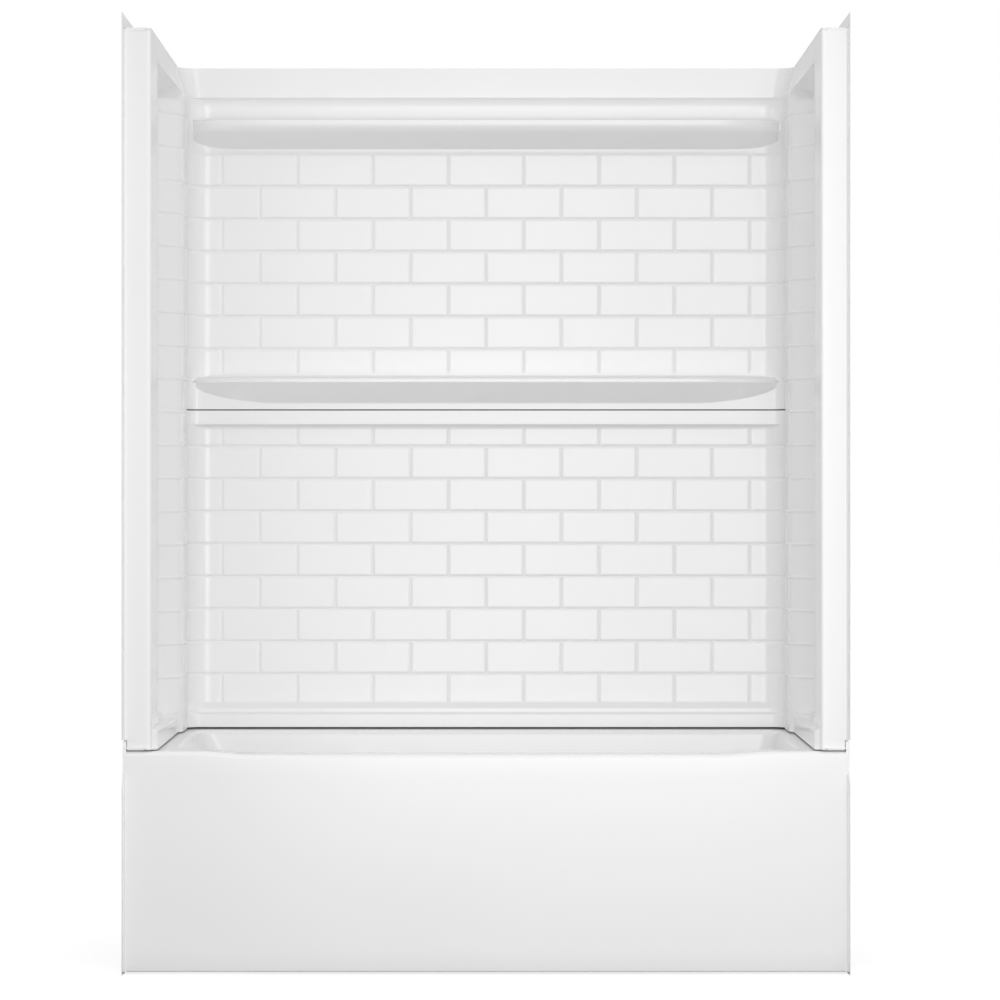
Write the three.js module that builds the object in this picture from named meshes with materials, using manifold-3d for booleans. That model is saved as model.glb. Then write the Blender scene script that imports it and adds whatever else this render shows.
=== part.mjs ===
// Alcove bath kit: a bath with its own apron, a two-piece back wall with moulded shelves and two end walls.
// Millimetres, +Z up, the open front faces -Y, origin on the floor under the middle of the kit.
import * as THREE from "three";
import { mergeVertices } from "three/addons/utils/BufferGeometryUtils.js";
import Module from "manifold-3d";

// Driving sizes

const kit = {
  width: 1524, // between the studs of the two end walls
  depth: 813, // from the studs behind to the front edge of the nailing flanges
  height: 2015, // from the floor to the top of the nailing flanges
};

const fit = {
  touch: 0.3, // clearance left between two faces that rest on each other
  cornerGap: 1.6, // joint between an end wall and the back walls
  seamGap: 3, // joint between the two back walls
  sillGap: 5, // joint between the walls and the bath
  overrun: 4, // how far a cut runs past the face that it opens
};

const flange = {
  thickness: 3,
  reach: 25, // ahead of the columns and the apron
  rise: 33, // above the top of the walls
};

const wall = {
  skin: 3.5, // moulded thickness
  railHeight: 62, // plain band round the top
  railRoof: 27, // height of the cove below that band
  sideRailHeight: 42, // the same two on the end walls, over their recess
  sideRailRoof: 58,
  columnWidth: 59.5, // from the stud to the room side of the front column
  columnEdge: 6, // rounding of the column's front edge
  columnDepth: 167, // front to back
  columnSlope: 52, // length of the slope from the column into the recess
  railStand: 27, // rails and bands of the back walls, in front of the stud
  tileStand: 10, // tiled field of the back walls, in front of the stud
  recessStand: 20, // tiled field of the end walls, in front of the stud
  rearStand: 82, // end wall beside the corner, in front of the stud
  sweepStart: 210, // from the seam to where the end wall's tiles begin their sweep
  sweepLength: 110,
  tileCove: 50, // corner radii
  railCove: 44,
  bandCove: 24,
  plinthCove: 32,
};

const band = {
  seamHeight: 1203, // joint between the two back walls
  below: 32, // band of the lower wall
  step: 11, // height of the slope from the band back to the tiles
  above: 17, // band of the upper wall, up to the shelf
};

const plinth = {
  edgeHeight: 509, // front edge of the plinth
  stepHeight: 513, // foot of the narrower step above it, on the back wall
  stepTop: 524, // front edge of that step
  ledgeHeight: 536, // where the ledge meets the tiles
  sideStand: 72,
  backStand: 39.5,
  lipHeight: 489, // top of the recessed lip at the foot
  lipRecess: 2.5,
  runOut: 45, // length over which the plinth grows out of the front column
};

const shelf = {
  depth: 78, // from the tiles to the lip, in the middle
  midLip: 8, // height of each shelf's front lip
  topLip: 16,
  fall: 6, // slope of the top towards the lip
  drop: 46, // height of the slanted underside
  bulge: 3, // how far the underside bellies out
  bellyShare: 0.5, // place of that belly, from the lip to the wall
  endGap: 13, // from the face of an end wall to the tip of the shelf
  midAbove: 62, // from the seam up to the middle shelf's lip
  topBelow: 139, // from the top of the walls down to the foot of the top shelf's lip
  midBow: 190, // length of the curve at each end of the lip
  topBow: 120,
};

const tile = {
  length: 172.4,
  height: 74.25,
  firstJoint: 600.8, // height of the lowest whole joint above the floor
  jointWidth: 6.5,
  jointDepth: 1.6,
  shiftShare: 0.5, // how far every second row is moved along, as a share of a tile
  sideJoint: 114, // from the seam forward to the end walls' upright joint in every second row
};

const deck = {
  frontHeight: 467.5,
  rise: 8, // from the apron to the seat of the back wall
  upstand: 21, // flange behind the walls
  nose: 11, // rounding between the rim and the apron
  dip: 7, // how far the middle of the front rim is lower
  dipHalf: 495, // half the length of the low stretch
  dipRun: 105, // length of each slope beside it
};

const basin = {
  shell: 5,
  rimFront: 68, // from the apron to the basin's edge
  rimBack: 62, // from the stud to the basin's edge
  rimLeft: 98,
  rimRight: 90,
  edge: 14, // rounding of the basin's edge
  cornerRadius: 50,
  floorCorner: 88,
  floorHeight: 72,
  footCove: 70, // rounding between the walls and the floor
  leanLeft: 165, // sloped end, to rest the back on
  leanRight: 62, // drain end
  leanFront: 48,
  leanBack: 48,
  floorFall: 7,
};

const drain = {
  radius: 26,
  seatRadius: 42, // level seat sunk round the hole
  seatDepth: 3,
  fromWall: 245, // from the stud of the drain end
  overflowRadius: 25,
  overflowBelow: 95, // from the deck down to the middle of the overflow
};

const apron = {
  clearance: 5, // from the floor to its lower edge
  edge: 6, // rounding of its upright edges
  flangeTop: 400, // where the side flange begins to slope back
  flangeSlope: 25,
  flangeDepth: 120,
};

const base = {
  boardThickness: 12,
  boardInset: 18,
  drainCutout: 62, // radius of the opening round the waste pipe
  runnerWidth: 58,
  runnerInset: 99, // from the edge of the board to the middle of an outer runner
  postWidth: 70,
  postThickness: 20,
  postInset: 292, // from the stud to the middle of a brace
  postLift: 12, // from the floor to the foot of the braces, which are bonded to the apron
  railHeight: 34,
  railThickness: 38,
  railInset: 72, // from the stud to the end of the board
};

const seal = {
  width: 11,
  setback: 7, // from the visible edge of the joint
};

const clip = {
  sheet: 1.4,
  length: 42,
  depth: 16,
  returnDepth: 66, // how deep the walls' returns are at the corner
  seamReturn: 20, // and at the seam between the back walls
  heightShares: [0.22, 0.8], // places on each back wall, as shares of its height
  seamShares: [-0.6, 0, 0.6], // places along the seam, as shares of half the shelf
};

const arcSteps = { cove: 5, edge: 3, slope: 4, corner: 5, nose: 4, foot: 3, hole: 24 };

// Places worked out from the sizes

const studX = kit.width / 2;
const studY = kit.depth / 2;
const frontY = -studY;
const faceY = frontY + flange.reach;
const wallTop = kit.height - flange.rise;
const columnX = studX - wall.columnWidth;
const rearX = studX - wall.rearStand;
const recessX = studX - wall.recessStand;
const plinthX = studX - plinth.sideStand;
const railY = studY - wall.railStand;
const tileY = studY - wall.tileStand;
const plinthY = studY - plinth.backStand;
const seamY = Math.min(railY - wall.railCove, plinthY - wall.plinthCove);
const railBottom = wallTop - wall.railHeight;
const tileTop = railBottom - wall.railRoof;
const sideRailBottom = wallTop - wall.sideRailHeight;
const sideTileTop = sideRailBottom - wall.sideRailRoof;
const bandBottom = band.seamHeight - fit.seamGap / 2 - band.below;
const deckSlope = deck.rise / (plinthY - faceY);
const deckAt = (y) => deck.frontHeight + (y - faceY) * deckSlope;
const footAt = (y) => deckAt(y) + fit.sillGap;
const flangeInner = studX - flange.thickness;
const upstandTop = deck.frontHeight + deck.upstand;
const shelfReach = rearX - shelf.endGap;
const midShelf = { height: band.seamHeight + shelf.midAbove, lip: shelf.midLip, bow: shelf.midBow };
const topShelf = { height: wallTop - shelf.topBelow, lip: shelf.topLip, bow: shelf.topBow };

// Materials

const glossWhite = new THREE.MeshStandardMaterial({ color: 0xf4f5f5, roughness: 0.16, metalness: 0 });
const paleWood = new THREE.MeshStandardMaterial({ color: 0xc9a674, roughness: 0.75, metalness: 0 });
const greySeal = new THREE.MeshStandardMaterial({ color: 0x6f7173, roughness: 0.6, metalness: 0 });
const zincSteel = new THREE.MeshStandardMaterial({ color: 0xb4b8bb, roughness: 0.35, metalness: 1 });

// Solids: lofts through rings of points, and the joins and cuts between them

const wasm = await Module();
wasm.setup();

function toSolid(geometry) {
  const bare = geometry.index ? geometry : geometry.clone();
  bare.deleteAttribute("normal");
  bare.deleteAttribute("uv");
  const merged = mergeVertices(bare);
  return new wasm.Manifold(
    new wasm.Mesh({
      numProp: 3,
      vertProperties: new Float32Array(merged.attributes.position.array),
      triVerts: new Uint32Array(merged.index.array),
    }),
  );
}

function toGeometry(solid) {
  const mesh = solid.getMesh();
  const geometry = new THREE.BufferGeometry();
  geometry.setAttribute("position", new THREE.BufferAttribute(new Float32Array(mesh.vertProperties), 3));
  geometry.setIndex(new THREE.BufferAttribute(new Uint32Array(mesh.triVerts), 1));
  geometry.computeVertexNormals();
  return geometry;
}

// A closed skin through rings with the same number of points. The two end rings are capped; `flat` names the
// two axes that a cap is seen along.
function loft(rings, flat = ["x", "y"]) {
  const count = rings[0].length;
  const index = [];
  for (let r = 0; r < rings.length - 1; r += 1) {
    for (let i = 0; i < count; i += 1) {
      const j = (i + 1) % count;
      const here = r * count;
      const next = here + count;
      index.push(here + i, here + j, next + j);
      index.push(here + i, next + j, next + i);
    }
  }
  const outline = (ring) => ring.map((p) => new THREE.Vector2(p[flat[0]], p[flat[1]]));
  const last = rings.length - 1;
  for (const ring of [0, last]) {
    const clockwise = THREE.ShapeUtils.isClockWise(outline(rings[ring]));
    for (const face of THREE.ShapeUtils.triangulateShape(outline(rings[ring]), [])) {
      const corners = face.map((k) => ring * count + k);
      index.push(...((ring === last) === clockwise ? corners.reverse() : corners));
    }
  }
  const geometry = new THREE.BufferGeometry();
  const positions = rings.flat().flatMap((p) => [p.x, p.y, p.z]);
  geometry.setAttribute("position", new THREE.Float32BufferAttribute(positions, 3));
  geometry.setIndex(index);
  const solid = toSolid(geometry);
  if (solid.volume() > 0) return solid;
  geometry.setIndex(index.reverse());
  return toSolid(geometry);
}

function block(low, high) {
  const size = high.map((value, axis) => value - low[axis]);
  const geometry = new THREE.BoxGeometry(...size);
  geometry.translate(...low.map((value, axis) => value + size[axis] / 2));
  return toSolid(geometry);
}

const union = (solids) => solids.reduce((whole, piece) => whole.add(piece));
const smooth = (t) => {
  const s = Math.min(Math.max(t, 0), 1);
  return s * s * (3 - 2 * s);
};
const mix = (a, b, t) => a + (b - a) * t;
const spread = (from, to, steps) => Array.from({ length: steps + 1 }, (_, i) => mix(from, to, i / steps));

// Points of an arc about (x, y), from one angle to another, both ends included.
function arc(x, y, radius, from, to, steps) {
  return spread(from, to, steps).map((angle) => ({
    x: x + radius * Math.cos(angle),
    y: y + radius * Math.sin(angle),
  }));
}

// The line beside an open line, at a distance to its left, with mitred corners.
function beside(line, distance) {
  return line.map((p, i) => {
    const before = line[Math.max(i - 1, 0)];
    const after = line[Math.min(i + 1, line.length - 1)];
    const normals = [[before, p], [p, after]]
      .filter(([a, b]) => Math.hypot(b.x - a.x, b.y - a.y) > 0)
      .map(([a, b]) => new THREE.Vector2(a.y - b.y, b.x - a.x).normalize());
    const sum = normals.reduce((total, n) => total.clone().add(n), new THREE.Vector2());
    const mitre = sum.normalize();
    const stretch = distance / Math.max(mitre.dot(normals[0]), Math.SQRT1_2);
    return { x: p.x + mitre.x * stretch, y: p.y + mitre.y * stretch };
  });
}

const heightAt = (z, y) => (typeof z === "function" ? z(y) : z);
const atHeight = (line, z) => line.map((p) => new THREE.Vector3(p.x, p.y, heightAt(z, p.y)));

// An upright cylinder.
function pillar(x, y, radius, low, high) {
  const geometry = new THREE.CylinderGeometry(radius, radius, high - low, arcSteps.hole);
  geometry.rotateX(Math.PI / 2);
  geometry.translate(x, y, (low + high) / 2);
  return toSolid(geometry);
}

// Tile joints: V-shaped grooves

// A level groove that follows the plan of the tiled face, whose ends run front to back. The room lies to the
// left of the line.
function levelJoint(line, height) {
  const half = (tile.jointWidth / 2) * (1 + fit.overrun / tile.jointDepth);
  const root = atHeight(beside(line, -tile.jointDepth), height);
  const mouth = beside(line, fit.overrun);
  const low = atHeight(mouth, height - half);
  const high = atHeight(mouth, height + half);
  return loft(line.map((_, i) => [root[i], low[i], high[i]]), ["x", "z"]);
}

// An upright groove at a point of the face, with the room on the side that `out` points to.
function uprightJoint(point, out, low, high) {
  const along = new THREE.Vector2(-out.y, out.x);
  const half = (tile.jointWidth / 2) * (1 + fit.overrun / tile.jointDepth);
  const place = (depth, side) => ({
    x: point.x + out.x * depth + along.x * side,
    y: point.y + out.y * depth + along.y * side,
  });
  const outline = [place(-tile.jointDepth, 0), place(fit.overrun, half), place(fit.overrun, -half)];
  return loft([atHeight(outline, low), atHeight(outline, high)]);
}

// Heights of the level joints between two heights, with the number of each.
function jointsBetween(low, high) {
  const first = Math.ceil((low + tile.jointWidth - tile.firstJoint) / tile.height);
  const last = Math.floor((high - tile.jointWidth - tile.firstJoint) / tile.height);
  const joints = [];
  for (let k = first; k <= last; k += 1) joints.push({ row: k, z: tile.firstJoint + k * tile.height });
  return joints;
}

// The rows of tiles between two heights. Odd rows are moved along by half a tile.
function rowsBetween(low, high) {
  const edges = [low, ...jointsBetween(low, high).map((joint) => joint.z), high];
  return edges.slice(1).map((top, i) => ({
    low: edges[i],
    high: top,
    odd: Math.floor(((edges[i] + top) / 2 - tile.firstJoint) / tile.height) % 2 !== 0,
  }));
}

// Back walls

// Plan of a back wall's face, seen from above, from the left seam to the right one. `out` moves the whole
// face away from the room.
function backFace(side, back, cove, out = 0) {
  const centreX = side - cove;
  const centreY = back - cove;
  const right = arc(centreX, centreY, cove + out, Math.PI / 2, 0, arcSteps.cove);
  const left = right.map((p) => ({ x: -p.x, y: p.y })).reverse();
  return [{ x: -side - out, y: seamY }, ...left, ...right, { x: side + out, y: seamY }];
}

// A level of the loft: how far the face stands out at this height.
const stepShare = (tileY - railY) / (tileY - plinthY);
const levels = {
  rail: { side: columnX, back: railY, cove: wall.railCove },
  tiles: { side: rearX, back: tileY, cove: wall.tileCove },
  band: { side: rearX, back: railY, cove: wall.bandCove },
  plinth: { side: plinthX, back: plinthY, cove: wall.plinthCove },
  step: {
    side: mix(rearX, plinthX, stepShare),
    back: railY,
    cove: mix(wall.tileCove, wall.plinthCove, stepShare),
  },
  lip: { side: plinthX + plinth.lipRecess, back: plinthY + plinth.lipRecess, cove: wall.plinthCove },
};

// The hollow cove under a rail or band: upright where it leaves the tiles, level where it meets the rail.
const coveTurns = spread(0, Math.PI / 2, arcSteps.slope).slice(1, -1);

function coveLevel(low, high, upper, turn) {
  const share = 1 - Math.cos(turn);
  return {
    z: mix(low, high, Math.sin(turn)),
    side: mix(levels.tiles.side, upper.side, share),
    back: mix(levels.tiles.back, upper.back, share),
    cove: mix(levels.tiles.cove, upper.cove, share),
  };
}

// The levels of the space behind the skin: the lowest is raised, and the ledges and the top are lowered.
function hollowStack(stack) {
  return stack.map((level, i) => {
    if (i === 0) return { ...level, z: (y) => heightAt(level.z, y) + wall.skin };
    return level.ledge || i === stack.length - 1 ? { ...level, z: level.z - wall.skin } : level;
  });
}

// The space between the face and the studs, or the space behind the moulded skin when `out` is the skin.
function backSolid(stack, out = 0) {
  const front = seamY + fit.cornerGap / 2 + out;
  const far = studY + (out > 0 ? fit.overrun : 0);
  const wide = rearX + clip.returnDepth + (out > 0 ? fit.overrun : 0);
  const rings = stack.map(({ z, side, back, cove }) => {
    const face = backFace(side, back, cove, out).map((p) => ({ x: p.x, y: Math.max(p.y, front) }));
    face[0].y = front;
    face[face.length - 1].y = front;
    const studs = [{ x: wide, y: front }, { x: wide, y: far }, { x: -wide, y: far }, { x: -wide, y: front }];
    return atHeight([...face, ...studs], z);
  });
  return loft(rings);
}

// Half-depth of a shelf's lip from the tiles at a place along it.
function shelfDepth(x, bow) {
  const fromEnd = Math.min(Math.max(shelfReach - Math.abs(x), 0) / bow, 1);
  return shelf.depth * Math.sqrt(1 - (1 - fromEnd) ** 2);
}

function shelfSolid({ height, lip, bow }, out = 0) {
  const reach = shelfReach - out;
  const stations = spread(0, Math.PI / 2, arcSteps.cove).map((turn) => reach - bow * (1 - Math.cos(turn)));
  const xs = [...stations.map((x) => -x), ...stations.slice().reverse()];
  const inside = tileY + wall.skin;
  const rings = xs.map((x) => {
    const depth = Math.max(shelfDepth(x, bow), lip / 2) - out;
    const share = Math.max(depth, 0) / shelf.depth;
    const front = tileY - depth;
    const low = height + out;
    const high = height + lip - out;
    const round = (high - low) / 2;
    const foot = height - shelf.drop * share + out;
    const nose = arc(front + round, (low + high) / 2, round, Math.PI / 2, (Math.PI * 3) / 2, arcSteps.edge);
    const belly = {
      x: mix(front, tileY, shelf.bellyShare),
      y: mix(low, foot, shelf.bellyShare) - shelf.bulge * share,
    };
    const outline = [
      { x: inside, y: high + shelf.fall * share },
      ...nose,
      belly,
      { x: tileY, y: foot },
      { x: inside, y: foot },
    ];
    return outline.map((p) => new THREE.Vector3(x, p.x, p.y));
  });
  return loft(rings, ["y", "z"]);
}

function backGrooves(low, high) {
  const face = backFace(rearX, tileY, wall.tileCove);
  const inward = face.slice().reverse();
  const grooves = jointsBetween(low, high).map(({ z }) => levelJoint(inward, z));
  const flat = rearX - wall.tileCove;
  for (const row of rowsBetween(low, high)) {
    const start = row.odd ? tile.length * tile.shiftShare : 0;
    for (let x = start; x < flat; x += tile.length) {
      for (const place of x > 0 ? [-x, x] : [0]) {
        grooves.push(uprightJoint({ x: place, y: tileY }, { x: 0, y: -1 }, row.low, row.high));
      }
    }
  }
  return grooves;
}

function upperBackWall() {
  const bottom = band.seamHeight + fit.seamGap / 2;
  const stack = [
    { z: bottom, ...levels.band },
    { z: bottom + band.above, ...levels.band },
    { z: bottom + band.above + wall.railStand, ...levels.tiles },
    { z: tileTop, ...levels.tiles },
    ...coveTurns.map((turn) => coveLevel(tileTop, railBottom, levels.rail, turn)),
    { z: railBottom, ...levels.rail },
    { z: wallTop, ...levels.rail },
  ];
  const shelves = [midShelf, topShelf];
  const outer = union([backSolid(stack), ...shelves.map((size) => shelfSolid(size))]);
  const inner = union([
    backSolid(hollowStack(stack), wall.skin),
    ...shelves.map((size) => shelfSolid(size, wall.skin)),
  ]);
  const low = midShelf.height + midShelf.lip + shelf.fall;
  const high = topShelf.height - shelf.drop;
  const trim = block(
    [-studX, railY + clip.seamReturn, bottom - fit.overrun],
    [studX, studY + fit.overrun, bottom + wall.skin + fit.overrun],
  );
  return outer.subtract(inner).subtract(union([...backGrooves(low, high), trim]));
}

function lowerBackWall() {
  const top = band.seamHeight - fit.seamGap / 2;
  const stack = [
    { z: footAt, ...levels.lip },
    { z: plinth.lipHeight - plinth.lipRecess, ...levels.lip },
    { z: plinth.lipHeight, ...levels.plinth },
    { z: plinth.edgeHeight, ...levels.plinth, ledge: true },
    { z: plinth.stepHeight, ...levels.step, ledge: true },
    { z: plinth.stepTop, ...levels.step, ledge: true },
    { z: plinth.ledgeHeight, ...levels.tiles, ledge: true },
    { z: bandBottom - band.step, ...levels.tiles },
    ...coveTurns.map((turn) => coveLevel(bandBottom - band.step, bandBottom, levels.band, turn)),
    { z: bandBottom, ...levels.band },
    { z: top, ...levels.band },
  ];
  const sheet = backSolid(stack).subtract(backSolid(hollowStack(stack), wall.skin));
  const high = bandBottom - band.step;
  const trim = block(
    [-studX, railY + clip.seamReturn, top - wall.skin - fit.overrun],
    [studX, studY + fit.overrun, top + fit.overrun],
  );
  const seat = block(
    [-studX, studY - flange.thickness - fit.touch, 0],
    [studX, studY + fit.overrun, upstandTop + deck.rise + fit.sillGap],
  );
  return sheet.subtract(union([...backGrooves(plinth.ledgeHeight, high), trim, seat]));
}

// End walls, drawn for the left end and mirrored for the right one

// Places along the depth where the end wall's plan bends.
function endStations() {
  const columnBack = faceY + wall.columnDepth;
  const sweep = seamY - wall.sweepStart;
  return [
    ...spread(faceY + wall.columnEdge, faceY + wall.columnEdge + plinth.runOut, arcSteps.edge),
    ...spread(columnBack, columnBack + wall.columnSlope, arcSteps.slope),
    ...spread(sweep, sweep + wall.sweepLength, arcSteps.cove),
    seamY - fit.cornerGap / 2,
  ];
}

// How far the end wall's face lies from the middle of the kit, at a depth, for each level.
const endPlan = {
  rail: () => columnX,
  tiles: (y) => {
    const back = faceY + wall.columnDepth;
    const start = seamY - wall.sweepStart;
    if (y < start) return mix(columnX, recessX, smooth((y - back) / wall.columnSlope));
    return mix(recessX, rearX, smooth((y - start) / wall.sweepLength));
  },
  plinth: (y) => mix(columnX, plinthX, smooth((y - faceY - wall.columnEdge) / plinth.runOut)),
  lip: (y) => mix(columnX, plinthX + plinth.lipRecess, smooth((y - faceY - wall.columnEdge) / plinth.runOut)),
};

// The face from the seam forward to the column's front edge, then round it.
function endFace(plan, out = 0) {
  const line = endStations().map((y) => ({ x: -plan(y), y }));
  const moved = out > 0 ? beside(line, out) : line;
  const edge = arc(
    -columnX - wall.columnEdge,
    faceY + wall.columnEdge,
    wall.columnEdge - out,
    0,
    -Math.PI / 2,
    arcSteps.edge,
  );
  return [...moved.reverse(), ...edge.slice(1)];
}

function endSolid(stack, out = 0) {
  const far = -studX - (out > 0 ? fit.overrun : 0);
  const rear = seamY - fit.cornerGap / 2 - out;
  const front = faceY + out;
  const rings = stack.map(({ z, plan, toPlan, t }) => {
    const face = toPlan
      ? endFace((y) => mix(plan(y), toPlan(y), t), out)
      : endFace(plan, out);
    face[0] = { x: face[0].x, y: rear };
    return atHeight([{ x: far, y: rear }, ...face, { x: far, y: front }], z);
  });
  return loft(rings);
}

function leftEndWall() {
  const stack = [
    { z: footAt, plan: endPlan.lip },
    { z: plinth.lipHeight - plinth.lipRecess, plan: endPlan.lip },
    { z: plinth.lipHeight, plan: endPlan.plinth },
    { z: plinth.edgeHeight, plan: endPlan.plinth, ledge: true },
    { z: plinth.ledgeHeight, plan: endPlan.tiles, ledge: true },
    { z: sideTileTop, plan: endPlan.tiles },
    ...coveTurns.map((turn) => ({
      z: mix(sideTileTop, sideRailBottom, Math.sin(turn)),
      plan: endPlan.tiles,
      toPlan: endPlan.rail,
      t: 1 - Math.cos(turn),
    })),
    { z: sideRailBottom, plan: endPlan.rail },
    { z: wallTop, plan: endPlan.rail },
  ];
  const tray = endSolid(stack).subtract(endSolid(hollowStack(stack), wall.skin));
  const plateLow = upstandTop + deck.rise + fit.touch;
  const rear = seamY - fit.cornerGap / 2;
  const frontFlange = block([-studX, frontY, plateLow], [-flangeInner, faceY + wall.skin, kit.height]);
  const topFlange = block([-studX, frontY, wallTop - wall.skin], [-flangeInner, rear, kit.height]);
  const seat = block(
    [-studX - fit.overrun, frontY, 0],
    [-flangeInner + fit.touch, rear + fit.overrun, plateLow],
  );
  const corner = block(
    [-studX - fit.overrun, rear - wall.skin - fit.overrun, 0],
    [-rearX - clip.returnDepth, rear + fit.overrun, wallTop - wall.skin - fit.overrun],
  );
  const field = endStations().filter((y) => y > faceY + wall.columnDepth + wall.columnSlope - fit.overrun);
  const run = field.map((y) => ({ x: -endPlan.tiles(y), y })).reverse();
  run[0].y += fit.overrun;
  const grooves = jointsBetween(plinth.ledgeHeight, sideTileTop).map(({ z }) => levelJoint(run, z));
  for (const row of rowsBetween(plinth.ledgeHeight, sideTileTop)) {
    const first = seamY - tile.sideJoint + (row.odd ? 0 : tile.length * tile.shiftShare);
    for (let y = first; y > field[0]; y -= tile.length) {
      const slope = endPlan.tiles(y + fit.touch) - endPlan.tiles(y - fit.touch);
      const out = new THREE.Vector2(2 * fit.touch, slope).normalize();
      grooves.push(uprightJoint({ x: -endPlan.tiles(y), y }, out, row.low, row.high));
    }
  }
  return union([tray, frontFlange, topFlange]).subtract(union([seat, corner, ...grooves]));
}

// Bath

// How much lower the front rim is at a place along it.
const dipAt = (x) => deck.dip * (1 - smooth((Math.abs(x) - deck.dipHalf) / deck.dipRun));

// A rounded rectangle seen from above. Its long sides are divided where the dip of the rim bends, and closer
// together where the rectangle is shorter.
function roundedRing({ left, right, front, back, radius }) {
  const bends = spread(deck.dipHalf, deck.dipHalf + deck.dipRun, arcSteps.edge);
  const room = deck.dipHalf + deck.dipRun + basin.edge;
  const leftShare = Math.min((-left - radius) / room, 1);
  const rightShare = Math.min((right - radius) / room, 1);
  const stations = [...bends.map((x) => -x * leftShare).reverse(), ...bends.map((x) => x * rightShare)];
  const turn = (x, y, from) => arc(x, y, radius, from, from + Math.PI / 2, arcSteps.corner);
  return [
    ...stations.map((x) => ({ x, y: front })),
    ...turn(right - radius, front + radius, -Math.PI / 2),
    ...turn(right - radius, back - radius, 0),
    ...stations.map((x) => ({ x, y: back })).reverse(),
    ...turn(left + radius, back - radius, Math.PI / 2),
    ...turn(left + radius, front + radius, Math.PI),
  ];
}

const rimOutline = {
  left: -studX + basin.rimLeft,
  right: studX - basin.rimRight,
  front: faceY + basin.rimFront,
  back: studY - basin.rimBack,
  radius: basin.cornerRadius,
};
const wallFoot = {
  left: rimOutline.left + basin.edge + basin.leanLeft,
  right: rimOutline.right - basin.edge - basin.leanRight,
  front: rimOutline.front + basin.edge + basin.leanFront,
  back: rimOutline.back - basin.edge - basin.leanBack,
  radius: basin.floorCorner,
};

// The drain, and the level seat round it
const centreY = (wallFoot.front + wallFoot.back) / 2;
const drainX = studX - drain.fromWall;
const fallAt = (x) => basin.floorFall * ((x - wallFoot.left) / (wallFoot.right - wallFoot.left));
const drainSeat = basin.floorHeight - fallAt(drainX) - drain.seatDepth;

const blend = (a, b, t) => Object.fromEntries(Object.keys(a).map((key) => [key, mix(a[key], b[key], t)]));

function inset({ left, right, front, back, radius }, by) {
  return { left: left + by, right: right - by, front: front + by, back: back - by, radius: radius - by };
}

// Rings of the bath from the deck down into the basin, or of its underside when `out` is the shell.
function basinRings(out = 0) {
  const nearFront = (y) => 1 - smooth((y - rimOutline.front) / deck.dipRun);
  const top = (p) => deckAt(p.y) - dipAt(p.x) * nearFront(p.y) - out;
  const raised = (line, z) => line.map((p) => new THREE.Vector3(p.x, p.y, z(p)));
  const ring = (outline, z) => raised(roundedRing(inset(outline, -out)), z);
  const floor = (p) => basin.floorHeight - (out > 0 ? basin.floorFall + out : fallAt(p.x));
  const rings = [ring(rimOutline, top)];
  for (const angle of spread(0, Math.PI / 2, arcSteps.edge).slice(1)) {
    const down = basin.edge * (1 - Math.cos(angle));
    rings.push(ring(inset(rimOutline, basin.edge * Math.sin(angle)), (p) => top(p) - down));
  }
  const neck = inset(rimOutline, basin.edge);
  const coveShare = basin.footCove / (deck.frontHeight - basin.edge - basin.floorHeight);
  for (const angle of spread(0, Math.PI / 2, arcSteps.foot)) {
    const outline = blend(neck, wallFoot, 1 - coveShare * (1 - Math.sin(angle)));
    const cove = inset(outline, (basin.footCove / 2) * (1 - Math.cos(angle)));
    rings.push(ring(cove, (p) => floor(p) + basin.footCove * (1 - Math.sin(angle))));
  }
  return rings;
}

// The bath with its deck and apron, before the space below is taken out.
function bathBody() {
  const back = studY - flange.thickness;
  const outer = { left: -flangeInner, right: flangeInner, front: faceY, back, radius: apron.edge };
  const top = (p) => deckAt(p.y) - dipAt(p.x) * (p.y < rimOutline.front ? 1 : 0);
  const ring = (front, z) => roundedRing({ ...outer, front }).map((p) => new THREE.Vector3(p.x, p.y, z(p)));
  const rings = [ring(faceY, () => apron.clearance)];
  for (const angle of spread(0, Math.PI / 2, arcSteps.nose)) {
    const front = faceY + deck.nose * (1 - Math.cos(angle));
    rings.push(ring(front, (p) => top(p) - deck.nose * (1 - Math.sin(angle))));
  }
  return loft([...rings, ...basinRings()]);
}

// The space under the deck, open below, behind and at both ends.
function underside() {
  const reach = studX + fit.overrun;
  const outer = { left: -reach, right: reach, front: faceY + basin.shell, back: reach, radius: basin.shell };
  const top = (p) => deckAt(p.y) - dipAt(p.x) * (p.y < rimOutline.front ? 1 : 0) - basin.shell;
  const ring = (front, z) => roundedRing({ ...outer, front }).map((p) => new THREE.Vector3(p.x, p.y, z(p)));
  return loft([
    ring(outer.front, () => -fit.overrun),
    ring(outer.front, (p) => top(p) - basin.shell),
    ring(outer.front + basin.shell, top),
    ...basinRings(basin.shell),
  ]);
}

// The flange at the left end: a sheet up the stud, with the part beside the apron carried forward.
function sideFlange() {
  const outline = [
    [frontY, 0],
    [frontY, apron.flangeTop],
    [faceY, apron.flangeTop + apron.flangeSlope],
    [faceY, upstandTop],
    [studY, upstandTop + deck.rise],
    [studY, deck.frontHeight - deck.upstand],
    [faceY + apron.flangeDepth, deck.frontHeight - deck.upstand],
    [faceY + apron.flangeDepth, 0],
  ];
  const ring = (x) => outline.map(([y, z]) => new THREE.Vector3(x, y, z));
  return loft([ring(-studX), ring(-flangeInner)], ["y", "z"]);
}

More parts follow.
